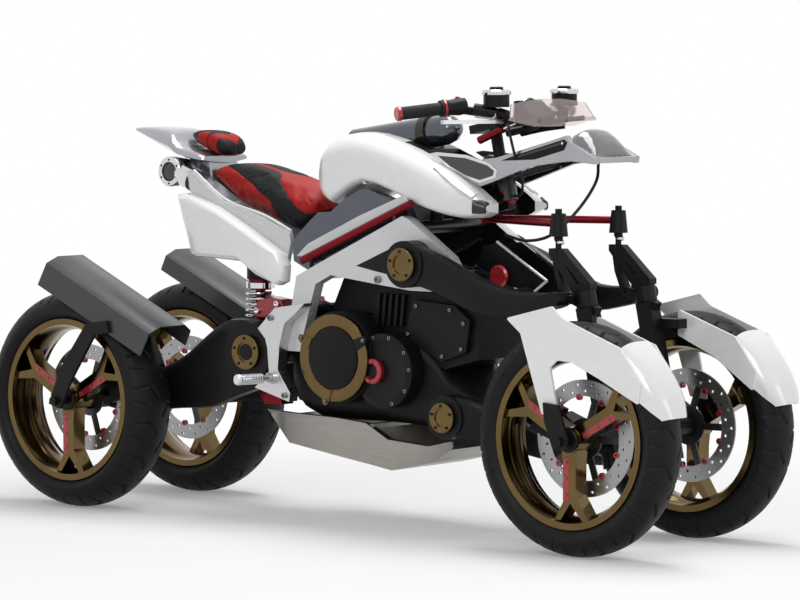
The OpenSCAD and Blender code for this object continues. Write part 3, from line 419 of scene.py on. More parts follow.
def smooth_by_angle(name, degrees):
    """A geometry node tool: joins split corners and shades smooth, but not across sharp edges."""
    tool = bpy.data.node_groups.new(name, "GeometryNodeTree")
    tool.interface.new_socket("Geometry", in_out="INPUT", socket_type="NodeSocketGeometry")
    tool.interface.new_socket("Geometry", in_out="OUTPUT", socket_type="NodeSocketGeometry")
    start, end = tool.nodes.new("NodeGroupInput"), tool.nodes.new("NodeGroupOutput")
    bare = tool.nodes.new("GeometryNodeRemoveAttribute")
    bare.inputs["Name"].default_value = "custom_normal"
    merge = tool.nodes.new("GeometryNodeMergeByDistance")
    merge.inputs["Distance"].default_value = JOIN_DISTANCE
    soft = tool.nodes.new("GeometryNodeSetShadeSmooth")
    angle = tool.nodes.new("GeometryNodeInputMeshEdgeAngle")
    sharp = tool.nodes.new("FunctionNodeCompare")
    sharp.operation = "GREATER_THAN"
    sharp.inputs["B"].default_value = math.radians(degrees)
    hard = tool.nodes.new("GeometryNodeSetShadeSmooth")
    hard.domain = "EDGE"
    hard.inputs["Shade Smooth"].default_value = False
    link = tool.links.new
    link(start.outputs[0], bare.inputs["Geometry"])
    link(bare.outputs[0], merge.inputs["Geometry"])
    link(merge.outputs[0], soft.inputs["Geometry"])
    link(soft.outputs[0], hard.inputs["Geometry"])
    link(angle.outputs["Unsigned Angle"], sharp.inputs["A"])
    link(sharp.outputs[0], hard.inputs["Selection"])
    link(hard.outputs[0], end.inputs[0])
    return tool


SMOOTH = smooth_by_angle("smooth by angle", SHARP_DEGREES)


def soften(obj, width, segments=2):
    """Joins an object's corners and, if a width is given, rounds its edges."""
    joined = obj.modifiers.new("joined corners", "NODES")
    joined.node_group = SMOOTH
    if width:
        bevel = obj.modifiers.new("soft edges", "BEVEL")
        bevel.width = width
        bevel.segments = segments
        bevel.limit_method = "ANGLE"
        bevel.angle_limit = math.radians(BEVEL_DEGREES)
        bevel.harden_normals = True


def dress(material, width, *names):
    """Gives solids a material and edges rounded to a width."""
    for name in names:
        node = NODES[name]
        node.data.materials.clear()
        node.data.materials.append(material)
        soften(node, width)


def both(name):
    return [f"{name}_{side}" for side in SIDES]


print("smooth tool with", len(SMOOTH.nodes), "nodes")

# %% Paint and metal on the solids
dress(PEARL, 0.0025, "tank_cover", "side_covers")
dress(PEARL, 0.0012, *both("front_fender"))
dress(FRAME_SILVER, 0.003, "frame", "seat_rails")
dress(COWL_SILVER, 0.0015, "front_cowl", "tail_cowl")
dress(MACHINED, 0.002, "pivot_plates", "foot_pegs", "controls")
dress(BRUSHED, 0.0025, "belly_pan")
dress(SATIN_BLACK, 0.002, "upper_arms", "lower_arms", "rear_arms", *both("upright"), "handlebar", "rod_ends")
dress(ENGINE_BLACK, 0.002, "engine")
dress(GOLD, 0.0015, "gold_caps", *both("front_wheel"), *both("rear_wheel"))
dress(RED, 0.001, "frame_tubes", "track_rods", "rear_shock", "front_shock")
dress(SLATE, 0.002, "tank_panels", "intake_tube")
dress(CHROME, 0.0012, "silencers", "cowl_lens")
dress(DARK_GREY, 0.001, "rear_huggers")
dress(GRIP_RUBBER, 0.001, "grips")
dress(SATIN_BLACK, 0.001, "reservoirs")
dress(PEARL, 0.0, "headlamps")
dress(SCREEN, 0.0, "windscreen")
print("dressed", sum(1 for o in NODES.values() if o.modifiers))

# %% [markdown]
# ## Black insides and painted shade
# Some solids change colour where nothing changes in their shape: the frame plates are silver outside
# and black inside, and the posts of the red frame tubes are black low down as painted shade for the gap
# around them. A mask from the place of a point, measured against a box, does it without paint lines that
# would have to be modelled.

# %% Black insides
inside_box, given, result = new_group(
    "inside box", [("Low", "NodeSocketVector", (0.0, 0.0, 0.0)),
                   ("High", "NodeSocketVector", (0.0, 0.0, 0.0))],
    [("Inside", "NodeSocketFloat")])
margin = None
above_low = (place_of(inside_box), given.outputs["Low"])
below_high = (given.outputs["High"], place_of(inside_box))
for first, second in (above_low, below_high):
    gap = inside_box.nodes.new("ShaderNodeVectorMath")
    gap.operation = "SUBTRACT"
    inside_box.links.new(first, gap.inputs[0])
    inside_box.links.new(second, gap.inputs[1])
    split = inside_box.nodes.new("ShaderNodeSeparateXYZ")
    inside_box.links.new(gap.outputs[0], split.inputs[0])
    for axis in split.outputs:
        margin = axis if margin is None else math_node(inside_box, "MINIMUM", margin, axis)
inside_box.links.new(math_node(inside_box, "GREATER_THAN", margin, 0.0), result.inputs["Inside"])


# The black of the insides, also used as painted shade on the frame tubes' posts.
INSIDE_AND_SHADE_BLACK = (0.007, 0.007, 0.0075)


def black_inside_and_shade(name, low, high):
    """Makes a solid's own copy of its material, black between two corners."""
    node = NODES[name]
    material = node.data.materials[0].copy()
    material.name = f"{material.name} on {name}"
    node.data.materials[0] = material
    tree = material.node_tree
    bsdf = tree.nodes["Principled BSDF"]
    mask = tree.nodes.new("ShaderNodeGroup")
    mask.node_tree = inside_box
    mask.inputs["Low"].default_value = low
    mask.inputs["High"].default_value = high
    inside = mask.outputs["Inside"]
    painted = bsdf.inputs["Base Color"].links[0].from_socket
    tree.links.new(colour_mix(tree, inside, painted, INSIDE_AND_SHADE_BLACK), bsdf.inputs["Base Color"])
    outside = math_node(tree, "SUBTRACT", 1.0, inside)
    for socket in ("Metallic", "Coat Weight"):
        full = bsdf.inputs[socket].default_value
        tree.links.new(math_node(tree, "MULTIPLY", outside, full), bsdf.inputs[socket])


black_inside_and_shade("frame", (-2, -0.1505, 0), (2, 0.1505, 2))
black_inside_and_shade("tank_panels", (-2, -0.1165, 0), (2, 0.1165, 2))
black_inside_and_shade("tank_cover", (0.16, -0.0800, 0), (2, 0.0800, 2))
black_inside_and_shade("intake_tube", (0.166, -1, 0), (0.202, 1, 2))
black_inside_and_shade("headlamps", (0.4445, -1, 0), (2, 1, 2))
# Painted shade: the two posts of the red frame tubes are black below these heights, for the shadow gap
# around them.
black_inside_and_shade("frame_tubes", (-0.0905, -1, 0), (-0.0775, 1, 0.7185))
black_inside_and_shade("frame_tubes", (0.1995, -1, 0), (0.2125, 1, 0.8435))
print("black insides", 6)

# %% [markdown]
# ## Brake discs
# A disc is bare turned steel on a dark carrier, and the CAD has both as one solid. The distance from
# the axle splits the two finishes in the shader, so no face has to be cut.

# %% Brake discs
CARRIER_R, CARRIER_BLACK = 0.107, (0.012, 0.012, 0.013)


def disc_finish(centre, side):
    """Polished steel outside, black carrier inside, split by the distance from the axle."""
    material = finish(f"disc steel {side}", turned_grain, (0.26, 0.26, 0.27), (0.42, 0.42, 0.43),
                      (0.24, 0.36), bump=0.1, grain_value=centre, Metallic=1.0)
    tree = material.node_tree
    group = next(n for n in tree.nodes if n.type == "GROUP")
    bsdf = tree.nodes["Principled BSDF"]
    carrier = math_node(tree, "LESS_THAN", group.outputs["Radius"], CARRIER_R)
    split = colour_mix(tree, carrier, group.outputs["Colour"], CARRIER_BLACK)
    tree.links.new(split, bsdf.inputs["Base Color"])
    tree.links.new(math_node(tree, "SUBTRACT", 1.0, carrier), bsdf.inputs["Metallic"])
    return material


for axle in ("front", "rear"):
    for side in SIDES:
        low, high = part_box(f"{axle}_disc_{side}")
        dress(disc_finish(tuple((low + high) / 2), f"{axle} {side}"), 0.0004, f"{axle}_disc_{side}")
print("brake discs", 4)

# %% [markdown]
# ## Tyres
# A road tyre has a round crown with a few long hooked grooves cut into it. The CAD tyre is plain,
# so each one is drawn again as a fine grid over the same section, and points inside a groove are
# pushed a few millimetres towards the axle.

# %% Tyre mesh
GROOVE_WALL, GROOVE_DEPTH, PITCHES = 0.0012, 0.0055, 18
BEAD_R, FLANGE_R = 0.2163, 0.2270
CROWN_SHARE, CROWN_STEPS, TURN_STEPS = 0.37, 57, 600


def groove_depth(along, across, pitch, hooks):
    """Depth from 0 to 1 for points at arc lengths along and across the tread."""
    deepest = np.zeros_like(along)
    for side in (1, -1):
        u = (along + (0.25 * pitch if side < 0 else -0.25 * pitch)) % pitch - pitch / 2
        v = across * side
        for (u0, v0), (u1, v1), half in hooks:
            for shift in (-pitch, 0, pitch):
                du, dv = u1 - u0, v1 - v0
                t = np.clip(((u - u0 - shift) * du + (v - v0) * dv) / (du * du + dv * dv), 0, 1)
                gap = np.hypot(u - u0 - shift - t * du, v - v0 - t * dv)
                deepest = np.maximum(deepest, np.clip((half - gap) / GROOVE_WALL, 0, 1))
    return deepest


def tyre_piece(name, body, centre, radius, width, lip, hooks):
    """A tyre about an axle through the centre, with its grooves, on the body of its wheel."""
    shoulder = CROWN_SHARE * width
    turns = np.linspace(-math.pi / 2, math.pi / 2, CROWN_STEPS)
    crown = [(radius - shoulder + shoulder * math.cos(a), width / 2 * math.sin(a)) for a in turns]
    skirt = [(BEAD_R, -lip), (FLANGE_R + 0.002, -lip), (FLANGE_R + 0.004, -lip - 0.005)]
    section = np.array(skirt + crown + [(r, -y) for r, y in reversed(skirt)])
    steps = np.hypot(*np.diff(section, axis=0).T)
    across = np.concatenate([[0], np.cumsum(steps)])
    across -= across[-1] / 2
    count = TURN_STEPS
    theta = np.linspace(0, 2 * math.pi, count, endpoint=False)
    pitch = 2 * math.pi * radius / PITCHES
    grid_along, grid_across = np.meshgrid(theta * radius, across, indexing="ij")
    r = np.broadcast_to(section[:, 0], grid_along.shape).copy()
    y = np.broadcast_to(section[:, 1], grid_along.shape)
    r -= GROOVE_DEPTH * groove_depth(grid_along, grid_across, pitch, hooks)
    points = np.stack([centre[0] + r * np.cos(theta)[:, None], centre[1] + y,
                       centre[2] + r * np.sin(theta)[:, None]], -1)
    n = section.shape[0]
    faces = []
    for i in range(count):
        a, b = i * n, (i + 1) % count * n
        faces += [(a + j, b + j, b + (j + 1) % n, a + (j + 1) % n) for j in range(n)]
    mesh = bpy.data.meshes.new(name)
    mesh.from_pydata(points.reshape(-1, 3).tolist(), [], faces)
    mesh.polygons.foreach_set("use_smooth", [True] * len(mesh.polygons))
    tyre = bpy.data.objects.new(name, mesh)
    mesh.materials.append(TYRE_RUBBER)
    scene.collection.objects.link(tyre)
    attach(tyre, body)
    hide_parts(name.replace("treaded_", ""))


HOOKS = [((-0.006, 0.008), (0.028, 0.030), 0.0034), ((0.028, 0.030), (0.022, 0.074), 0.0034),
         ((-0.026, 0.038), (-0.016, 0.080), 0.0030)]
for axle, lip in (("front", 0.0457), ("rear", 0.0557)):
    for side in SIDES:
        low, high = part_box(f"{axle}_tyre_{side}")
        tyre_piece(f"treaded_{axle}_tyre_{side}", f"wheel_{axle}_{side}", (low + high) / 2,
                   (high.z - low.z) / 2, high.y - low.y, lip, HOOKS)
print("tyres with tread", 4)

# %% [markdown]
# ## Seats
# The two saddles are foam under sewn leather. Each starts from its CAD pad, is remeshed and blown
# up a little by the cloth solver, then gets its panels: the leather's colour follows the seams,
# and the seams are pressed in.

# %% Cloth pads
PAD_SHRINK, PAD_VOXEL, PAD_PRESSURE, PAD_FRAMES = 0.965, 0.005, 4.0, 20


def bake(obj):
    """Replaces an object's mesh by what its modifiers make of it."""
    made = bpy.data.meshes.new_from_object(obj.evaluated_get(bpy.context.evaluated_depsgraph_get()))
    obj.modifiers.clear()
    old = obj.data
    obj.data = made
    bpy.data.meshes.remove(old)


def inflated(name, source, cap):
    """A copy of a pad, remeshed and swollen by the cloth solver, with no point moved beyond cap."""
    mesh = NODES[source].data.copy()
    pad = bpy.data.objects.new(name, mesh)
    scene.collection.objects.link(pad)
    low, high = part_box(source)
    middle = (low + high) / 2
    mesh.transform(Matrix.Translation(middle) @ Matrix.Scale(PAD_SHRINK, 4) @ Matrix.Translation(-middle))
    remesh = pad.modifiers.new("remesh", "REMESH")
    remesh.mode = "VOXEL"
    remesh.voxel_size = PAD_VOXEL
    bake(pad)
    start = np.array([v.co for v in pad.data.vertices])
    cloth = pad.modifiers.new("cloth", "CLOTH")
    cloth.settings.use_pressure = True
    cloth.settings.uniform_pressure_force = PAD_PRESSURE
    cloth.settings.effector_weights.gravity = 0
    for step in range(1, PAD_FRAMES + 1):
        scene.frame_set(step)
    bake(pad)
    scene.frame_set(1)
    moved = np.array([v.co for v in pad.data.vertices]) - start
    size = np.linalg.norm(moved, axis=1, keepdims=True)
    capped = start + moved * np.minimum(1, cap / np.maximum(size, 1e-9))
    pad.data.vertices.foreach_set("co", capped.ravel())
    pad.data.polygons.foreach_set("use_smooth", [True] * len(pad.data.polygons))
    return pad


SADDLES = {"rider_saddle": inflated("rider_saddle", "seat", 0.010),
           "pillion_saddle": inflated("pillion_saddle", "pillion_seat", 0.006)}
print("cloth pads", len(SADDLES))

# %% Seat panels
SEAT_ROWS = [(-0.540, 0.070, 0.930, 0.956), (-0.500, 0.092, 0.908, 0.968), (-0.427, 0.106, 0.868, 0.962),
             (-0.330, 0.118, 0.838, 0.938), (-0.250, 0.124, 0.810, 0.914), (-0.190, 0.122, 0.788, 0.898),
             (-0.132, 0.090, 0.824, 0.882)]
WING_SEAM = ((-0.530, -0.47, -0.42, -0.36, -0.29, -0.27), (26, 40, 52, 68, 100, 170))
STRIPE_SEAM = ((-0.50, -0.345, -0.31, -0.28, -0.196, -0.15), (5, 5, 14, 30, 74, 110))


def seat_angle(p):
    """Angle in degrees round the rider's pad from its top, at a point."""
    places, *columns = zip(*SEAT_ROWS)
    half, low, high = (np.interp(p[0], places, column) for column in columns)
    return math.degrees(math.atan2(abs(p[1]) / half, (p[2] - (low + high) / 2) / ((high - low) / 2)))


def seat_red(p):
    """Above 0 where the rider's seat is red, below 0 where it is black, 0 on a seam."""
    turn = seat_angle(p)
    wing = turn - np.interp(p[0], *WING_SEAM)
    stripe = np.interp(p[0], *STRIPE_SEAM) - turn
    return max(wing, stripe)


def pillion_red(p):
    """The same for the pillion seat: a slanting band and two wings are red."""
    lean = p[0] + 0.6 * abs(p[1])
    band = 0.016 - abs(lean + 0.520)
    wing = min(-0.572 - p[0], abs(p[1]) - 0.026 + 0.3 * (p[0] + 0.572))
    return max(band, wing) * 1500


print("seam lines", len(WING_SEAM[0]) + len(STRIPE_SEAM[0]), "points")

# %% Sewing
SEAM_WIDTH, SEAM_DEPTH = 4.0, 0.0022


def panelled(pad, red_where):
    """Gives a pad its two leathers: points by a seam move onto it, and the seams are pressed in."""
    smooth = pad.modifiers.new("smooth", "SUBSURF")
    smooth.levels = smooth.render_levels = 1
    bake(pad)
    pad.data.materials.clear()
    pad.data.materials.append(RED_LEATHER)
    pad.data.materials.append(BLACK_LEATHER)
    points = pad.data.vertices
    side = np.array([red_where(v.co) for v in points])
    onto = {}
    for edge in pad.data.edges:
        a, b = edge.vertices
        if side[a] * side[b] < 0:
            near, far = (a, b) if abs(side[a]) < abs(side[b]) else (b, a)
            share = side[near] / (side[near] - side[far])
            onto[near] = points[near].co.lerp(points[far].co, share)
    for i, place in onto.items():
        points[i].co = place
        side[i] = 0
    for i, vertex in enumerate(points):
        if abs(side[i]) < SEAM_WIDTH:
            vertex.co -= vertex.normal * SEAM_DEPTH * (1 - abs(side[i]) / SEAM_WIDTH)
    for face in pad.data.polygons:
        face.material_index = 0 if sum(side[i] for i in face.vertices) > 0 else 1


for source, name, rule in (("seat", "rider_saddle", seat_red),
                           ("pillion_seat", "pillion_saddle", pillion_red)):
    pad = SADDLES[name]
    panelled(pad, rule)
    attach(pad, "chassis")
    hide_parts(source)
print("saddles sewn", len(SADDLES))

# %% [markdown]
# ## Small trim
# Bolts, caps, inlays and hoses are too small to steer or carry anything, but the eye looks for them.
# Each cell gathers a few turned, flat or bent shapes into one mesh that rides on one body, so that a
# wheel's bolts turn with the wheel and a lever's collar turns with the handlebar.

# %% Piece builder
UP = (0, 0, 1)


def mm(*place):
    """A place given in millimetres."""
    return Vector(place) * MM


class Piece:
    """Gathers simple shapes, each with its material, into one mesh."""

    def __init__(self):
        self.points, self.faces, self.marks, self.materials = [], [], [], []

    def add(self, points, faces, material):
        """Adds points and faces that share one material."""
        start = len(self.points)
        if material not in self.materials:
            self.materials.append(material)
        self.points += [tuple(p) for p in points]
        self.faces += [tuple(start + i for i in face) for face in faces]
        self.marks += [self.materials.index(material)] * len(faces)

    def lathe(self, profile, centre, axis, material, turns=32):
        """Turns rows of (radius, distance) about an axis through the centre."""
        axis = Vector(axis).normalized()
        out = axis.orthogonal().normalized()
        over = axis.cross(out)
        points = []
        for i in range(turns):
            a = 2 * math.pi * i / turns
            ray = out * math.cos(a) + over * math.sin(a)
            points += [Vector(centre) + ray * r + axis * d for r, d in profile]
        n = len(profile)
        faces = [(i * n + j, (i + 1) % turns * n + j, (i + 1) % turns * n + j + 1, i * n + j + 1)
                 for i in range(turns) for j in range(n - 1)]
        self.add(points, faces, material)

    def bolt(self, centre, axis, r, material):
        """A cap-head bolt with a sunk socket."""
        self.lathe([(r, 0), (r, 0.8 * r), (0.86 * r, 0.95 * r), (0.5 * r, 0.95 * r), (0.5 * r, 0.4 * r),
                    (0, 0.4 * r)], centre, axis, material, 16)

    def plate(self, outline, low, high, material):
        """A flat plate: an outline of (x, z) points between two places along y."""
        n = len(outline)
        points = [(x, low, z) for x, z in outline] + [(x, high, z) for x, z in outline]
        faces = [tuple(range(n)), tuple(range(2 * n - 1, n - 1, -1))]
        faces += [(i, (i + 1) % n, n + (i + 1) % n, n + i) for i in range(n)]
        self.add(points, faces, material)

    def tube(self, path, r, material, sides=12):
        """A round tube along a path, closed at both ends."""
        path = [Vector(p) for p in path]
        out = (path[1] - path[0]).orthogonal().normalized()
        points = []
        for i, p in enumerate(path):
            along = (path[min(i + 1, len(path) - 1)] - path[max(i - 1, 0)]).normalized()
            out = (out - along * out.dot(along)).normalized()
            over = along.cross(out)
            points += [p + (out * math.cos(a) + over * math.sin(a)) * r
                       for a in (2 * math.pi * k / sides for k in range(sides))]
        faces = [(i * sides + k, i * sides + (k + 1) % sides, (i + 1) * sides + (k + 1) % sides,
                  (i + 1) * sides + k) for i in range(len(path) - 1) for k in range(sides)]
        last = (len(path) - 1) * sides
        faces += [tuple(range(sides - 1, -1, -1)), tuple(range(last, last + sides))]
        self.add(points, faces, material)

    def place(self, name, body, bevel=0.0):
        """Makes the mesh an object of the scene and lets it ride on a body."""
        mesh = bpy.data.meshes.new(name)
        mesh.from_pydata(self.points, [], self.faces)
        for material in self.materials:
            mesh.materials.append(material)
        mesh.polygons.foreach_set("material_index", self.marks)
        work = bmesh.new()
        work.from_mesh(mesh)
        bmesh.ops.remove_doubles(work, verts=work.verts, dist=1e-6)
        bmesh.ops.recalc_face_normals(work, faces=work.faces)
        work.to_mesh(mesh)
        work.free()
        obj = bpy.data.objects.new(name, mesh)
        scene.collection.objects.link(obj)
        soften(obj, bevel)
        if body:
            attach(obj, body)
        return obj


print("shapes to build with: lathe, bolt, plate and tube")

# %% Paths and places


def bend(points, steps=10):
    """A smooth path through a few points."""
    ends = [2 * points[0] - points[1], *points, 2 * points[-1] - points[-2]]
    path = []
    for a, b, c, d in zip(ends, ends[1:], ends[2:], ends[3:]):
        for k in range(steps):
            t = k / steps
            path.append(b + 0.5 * t * (c - a + t * (2 * a - 5 * b + 4 * c - d + t * (3 * (b - c) + d - a))))
    return path + [points[-1]]


def turned(centre, angle, along, across=0.0):
    """The (x, z) place along and across a line that leaves the centre at an angle in degrees."""
    c, s = math.cos(math.radians(angle)), math.sin(math.radians(angle))
    return centre[0] + along * c - across * s, centre[1] + along * s + across * c


def on_side(sign, points):
    """Points in millimetres, given for the left side, on either side."""
    return [mm(x, sign * y, z) for x, y, z in points]


print("paths bend, places turn about a centre and mirror to either side")

# %% [markdown]
# ## Wheel trim
# Each spoke has a red inlay in its pocket, held by three screws, and nine red bobbins tie the drilled
# disc to its carrier. The inlay could be modelled as part of the wheel, but as a plate of its own it
# keeps a clean edge and a colour of its own. One mesh per wheel turns with that wheel.

# %% Wheel trim
SPOKE_ANGLES = (30, 150, 270)
INLAY = ((0.043, -0.0015), (0.152, -0.0015), (0.157, -0.0180), (0.148, -0.0190), (0.043, -0.0165))
INLAY_DEPTH, INLAY_PROUD = 0.0118, 0.0006
SCREWS_ALONG, SCREW_ACROSS, SCREW_R = (0.056, 0.096, 0.137), -0.0095, 0.0036
HUB_RING = ((0.0135, 0), (0.0135, 0.006), (0.027, 0.006), (0.031, 0.003), (0.031, 0))
BOBBIN = ((0.0035, -0.0045), (0.0085, -0.0045), (0.0085, 0.0045), (0.0035, 0.0045))
BOBBINS, BOBBIN_CIRCLE = 9, 0.1065
HALF_RIMS = {"front": 0.052, "rear": 0.062}
FACE_SUNK, RING_SUNK, DISC_SUNK = 0.010, 0.006, 0.0265


def wheel_trim(axle, side, sign):
    """The inlays, screws, hub ring and disc bobbins of one wheel."""
    low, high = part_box(f"{axle}_wheel_{side}")
    middle = (low + high) / 2
    hub = (middle.x, middle.z)
    out = (0, sign, 0)
    face = middle.y + sign * (HALF_RIMS[axle] - FACE_SUNK)
    proud = face + sign * INLAY_PROUD
    trim = Piece()
    for spoke in SPOKE_ANGLES:
        inlay = [turned(hub, spoke, u, v) for u, v in INLAY]
        trim.plate(inlay, face - sign * INLAY_DEPTH, proud, BRIGHT_RED)
        for u in SCREWS_ALONG:
            x, z = turned(hub, spoke, u, SCREW_ACROSS)
            trim.bolt((x, proud, z), out, SCREW_R, BOLT_STEEL)
    ring_y = middle.y + sign * (HALF_RIMS[axle] - RING_SUNK)
    trim.lathe(HUB_RING, (middle.x, ring_y, middle.z), out, SATIN_BLACK)
    bobbin_y = middle.y - sign * (HALF_RIMS[axle] - DISC_SUNK)
    for k in range(BOBBINS):
        x, z = turned(hub, 360 / BOBBINS * k + 20, BOBBIN_CIRCLE)
        trim.lathe(BOBBIN, (x, bobbin_y, z), out, BRIGHT_RED, 16)
    trim.place(f"wheel_trim_{axle}_{side}", f"wheel_{axle}_{side}", 0.0005)


for axle in HALF_RIMS:
    for side, sign in SIDES.items():
        wheel_trim(axle, side, sign)
print("wheel trim", 4)

# %% [markdown]
# ## Engine covers
# The clutch sits behind a gold ring with three lugs and a dark lid. The ring's face is crowned by a few
# millimetres, because a flat metal ring mirrors one spot of the room and looks like paper. The
# generator's cover next to it has a ring of bolts and a red filler cap.

# %% Engine covers
CLUTCH, GENERATOR, OIL_CAP = (0.022, 0.461), (0.172, 0.432), (0.147, 0.431)
LUG = ((0.086, -0.016), (0.118, -0.012), (0.130, -0.006), (0.130, 0.006), (0.118, 0.012), (0.086, 0.016))
LUG_BACK, LUG_FACE, LID_Y, RING_Y, COVER_Y = 0.2075, 0.2155, 0.2138, 0.2095, 0.186
CLUTCH_LID = ((0.080, 0), (0.080, 0.001), (0.074, 0.0035), (0, 0.0042))
CLUTCH_RING = ((0.1180, 0), (0.1170, 0.0022), (0.1010, 0.0046), (0.0860, 0.0020), (0.0845, 0))
COVER_STEP = ((0.100, 0), (0.084, 0.006), (0.080, 0.004), (0.030, 0.004))
FILLER_CAP = ((0.034, 0.003), (0.034, 0.016), (0.031, 0.020), (0.022, 0.020), (0.019, 0.012), (0, 0.012))
FILLER_LID = ((0.0188, 0.0118), (0.0165, 0.0140), (0, 0.0140))
COVER_BOLT_R, FILLER_BOLT_R = 0.0055, 0.0036
LUG_BOLT_AT, COVER_BOLT_AT, FILLER_BOLT_AT, FILLER_BOLT_Y = 0.120, 0.092, 0.0265, 0.2060


def clutch_trim(trim, sign):
    """Lugs with bolts, the lid and the gold ring of the clutch."""
    out = (0, sign, 0)
    for angle, lug_finish in ((156, GOLD), (26, SATIN_BLACK), (258, GOLD)):
        lug = [turned(CLUTCH, angle, u, v) for u, v in LUG]
        trim.plate(lug, sign * LUG_BACK, sign * LUG_FACE, lug_finish)
        x, z = turned(CLUTCH, angle, LUG_BOLT_AT)
        trim.bolt((x, sign * LUG_FACE, z), out, COVER_BOLT_R, BOLT_STEEL)
    trim.lathe(CLUTCH_LID, (CLUTCH[0], sign * LID_Y, CLUTCH[1]), out, ENGINE_BLACK, 64)
    trim.lathe(CLUTCH_RING, (CLUTCH[0], sign * RING_Y, CLUTCH[1]), out, GOLD, 96)


def generator_trim(trim, sign):
    """The step and bolts of the generator's cover, and its filler cap."""
    out = (0, sign, 0)
    for angle in (75, 35, 5, -32, -68, 110):
        x, z = turned(GENERATOR, angle, COVER_BOLT_AT)
        trim.bolt((x, sign * COVER_Y, z), out, COVER_BOLT_R, BOLT_STEEL)
    trim.lathe(COVER_STEP, (GENERATOR[0], sign * COVER_Y, GENERATOR[1]), out, SATIN_BLACK, 64)
    filler = (OIL_CAP[0], sign * COVER_Y, OIL_CAP[1])
    trim.lathe(FILLER_CAP, filler, out, BRIGHT_RED, 40)
    trim.lathe(FILLER_LID, filler, out, SATIN_BLACK, 40)
    for angle in (80, 260):
        x, z = turned(OIL_CAP, angle, FILLER_BOLT_AT)
        trim.bolt((x, sign * FILLER_BOLT_Y, z), out, FILLER_BOLT_R, BOLT_STEEL)


engine_trim = Piece()
for sign in SIDES.values():
    clutch_trim(engine_trim, sign)
    generator_trim(engine_trim, sign)
print("engine covers", len(engine_trim.faces), "faces")

# %% [markdown]
# ## Foot pegs, pivot caps and airbox
# A foot peg is a turned sleeve with ribs for grip, so its outline comes from a loop over the ribs. The
# gold caps over the arms' pivots get a crowned ring with five bolts. The airbox is a dark block
# between the frame's plates, above the engine. All of them join the engine's trim in one mesh.

# %% Foot pegs, pivot caps and airbox
PEG_FOOT, PEG_SWEEP, PEG_RIBS, RIB_PITCH = (-0.186, 0.222, 0.397), math.radians(18), 9, 0.0075
PEG_END = ((0.0155, 0.100), (0.0155, 0.109), (0.0130, 0.113), (0, 0.113))
PIVOTS = (((0.286, 0.722), 0.044, 0.2523), ((0.379, 0.320), 0.040, 0.196), ((-0.303, 0.460), 0.048, 0.200))
CAP_RING = ((0.99, -0.0010), (0.96, 0.0010), (0.80, 0.0018), (0.64, 0.0006), (0.61, -0.0015))
CAP_PLUG = ((0.0225, 0), (0.0225, 0.0015), (0.018, 0.003), (0, 0.003))
CAP_BOLTS, CAP_BOLT_R, CAP_BOLT_SHARE, CAP_PLUG_Y = 5, 0.0042, 0.79, 0.196
FRAME_BOLTS = (((0.157, 0.185, 0.675), 0.010), ((-0.190, 0.222, 0.560), 0.008),
               ((-0.140, 0.222, 0.352), 0.008))
AIRBOX = ((-0.034, 0.668), (0.085, 0.656), (0.150, 0.652), (0.150, 0.576), (-0.078, 0.576))
AIRBOX_HALF = 0.100


def foot_peg(trim, sign):
    """A ribbed sleeve with a rounded end."""
    ribs = [(0.0118, 0.030)]
    for k in range(PEG_RIBS):
        start = 0.032 + RIB_PITCH * k
        ribs += [(0.0145, start), (0.0145, start + 0.0045), (0.0125, start + 0.0055)]
    foot = (PEG_FOOT[0], sign * PEG_FOOT[1], PEG_FOOT[2])
    along = (-math.sin(PEG_SWEEP), sign * math.cos(PEG_SWEEP), 0)
    trim.lathe(ribs + list(PEG_END), foot, along, CHROME, 32)


def pivot_caps(trim, sign):
    """Rings and bolts on the pivots, and bolts on the frame."""
    out = (0, sign, 0)
    for pivot, r, y in PIVOTS:
        ring = [(share * r, d) for share, d in CAP_RING]
        trim.lathe(ring, (pivot[0], sign * y, pivot[1]), out, GOLD, 64)
        for k in range(CAP_BOLTS):
            x, z = turned(pivot, 360 / CAP_BOLTS * k + 20, CAP_BOLT_SHARE * r)
            trim.bolt((x, sign * y, z), out, CAP_BOLT_R, SATIN_BLACK)
    rear = PIVOTS[2][0]
    trim.lathe(CAP_PLUG, (rear[0], sign * CAP_PLUG_Y, rear[1]), out, SATIN_BLACK)
    for (x, y, z), r in FRAME_BOLTS:
        trim.bolt((x, sign * y, z), out, r, BOLT_STEEL)


for sign in SIDES.values():
    foot_peg(engine_trim, sign)
    pivot_caps(engine_trim, sign)
engine_trim.plate(AIRBOX, -AIRBOX_HALF, AIRBOX_HALF, ENGINE_BLACK)
engine_trim.place("engine_trim", "chassis", 0.0006)
print("engine trim", len(engine_trim.faces), "faces")

# %% [markdown]
# ## Cylinder heads and silver strip
# The front of the engine is a dark mass of castings: a block, ribs, and a bolted cover on each side.
# Sculpting it would cost many faces that nobody sees in the dark, so flat plates with a soft bevel
# stand in. A silver strip runs above the red frame tube on each side.

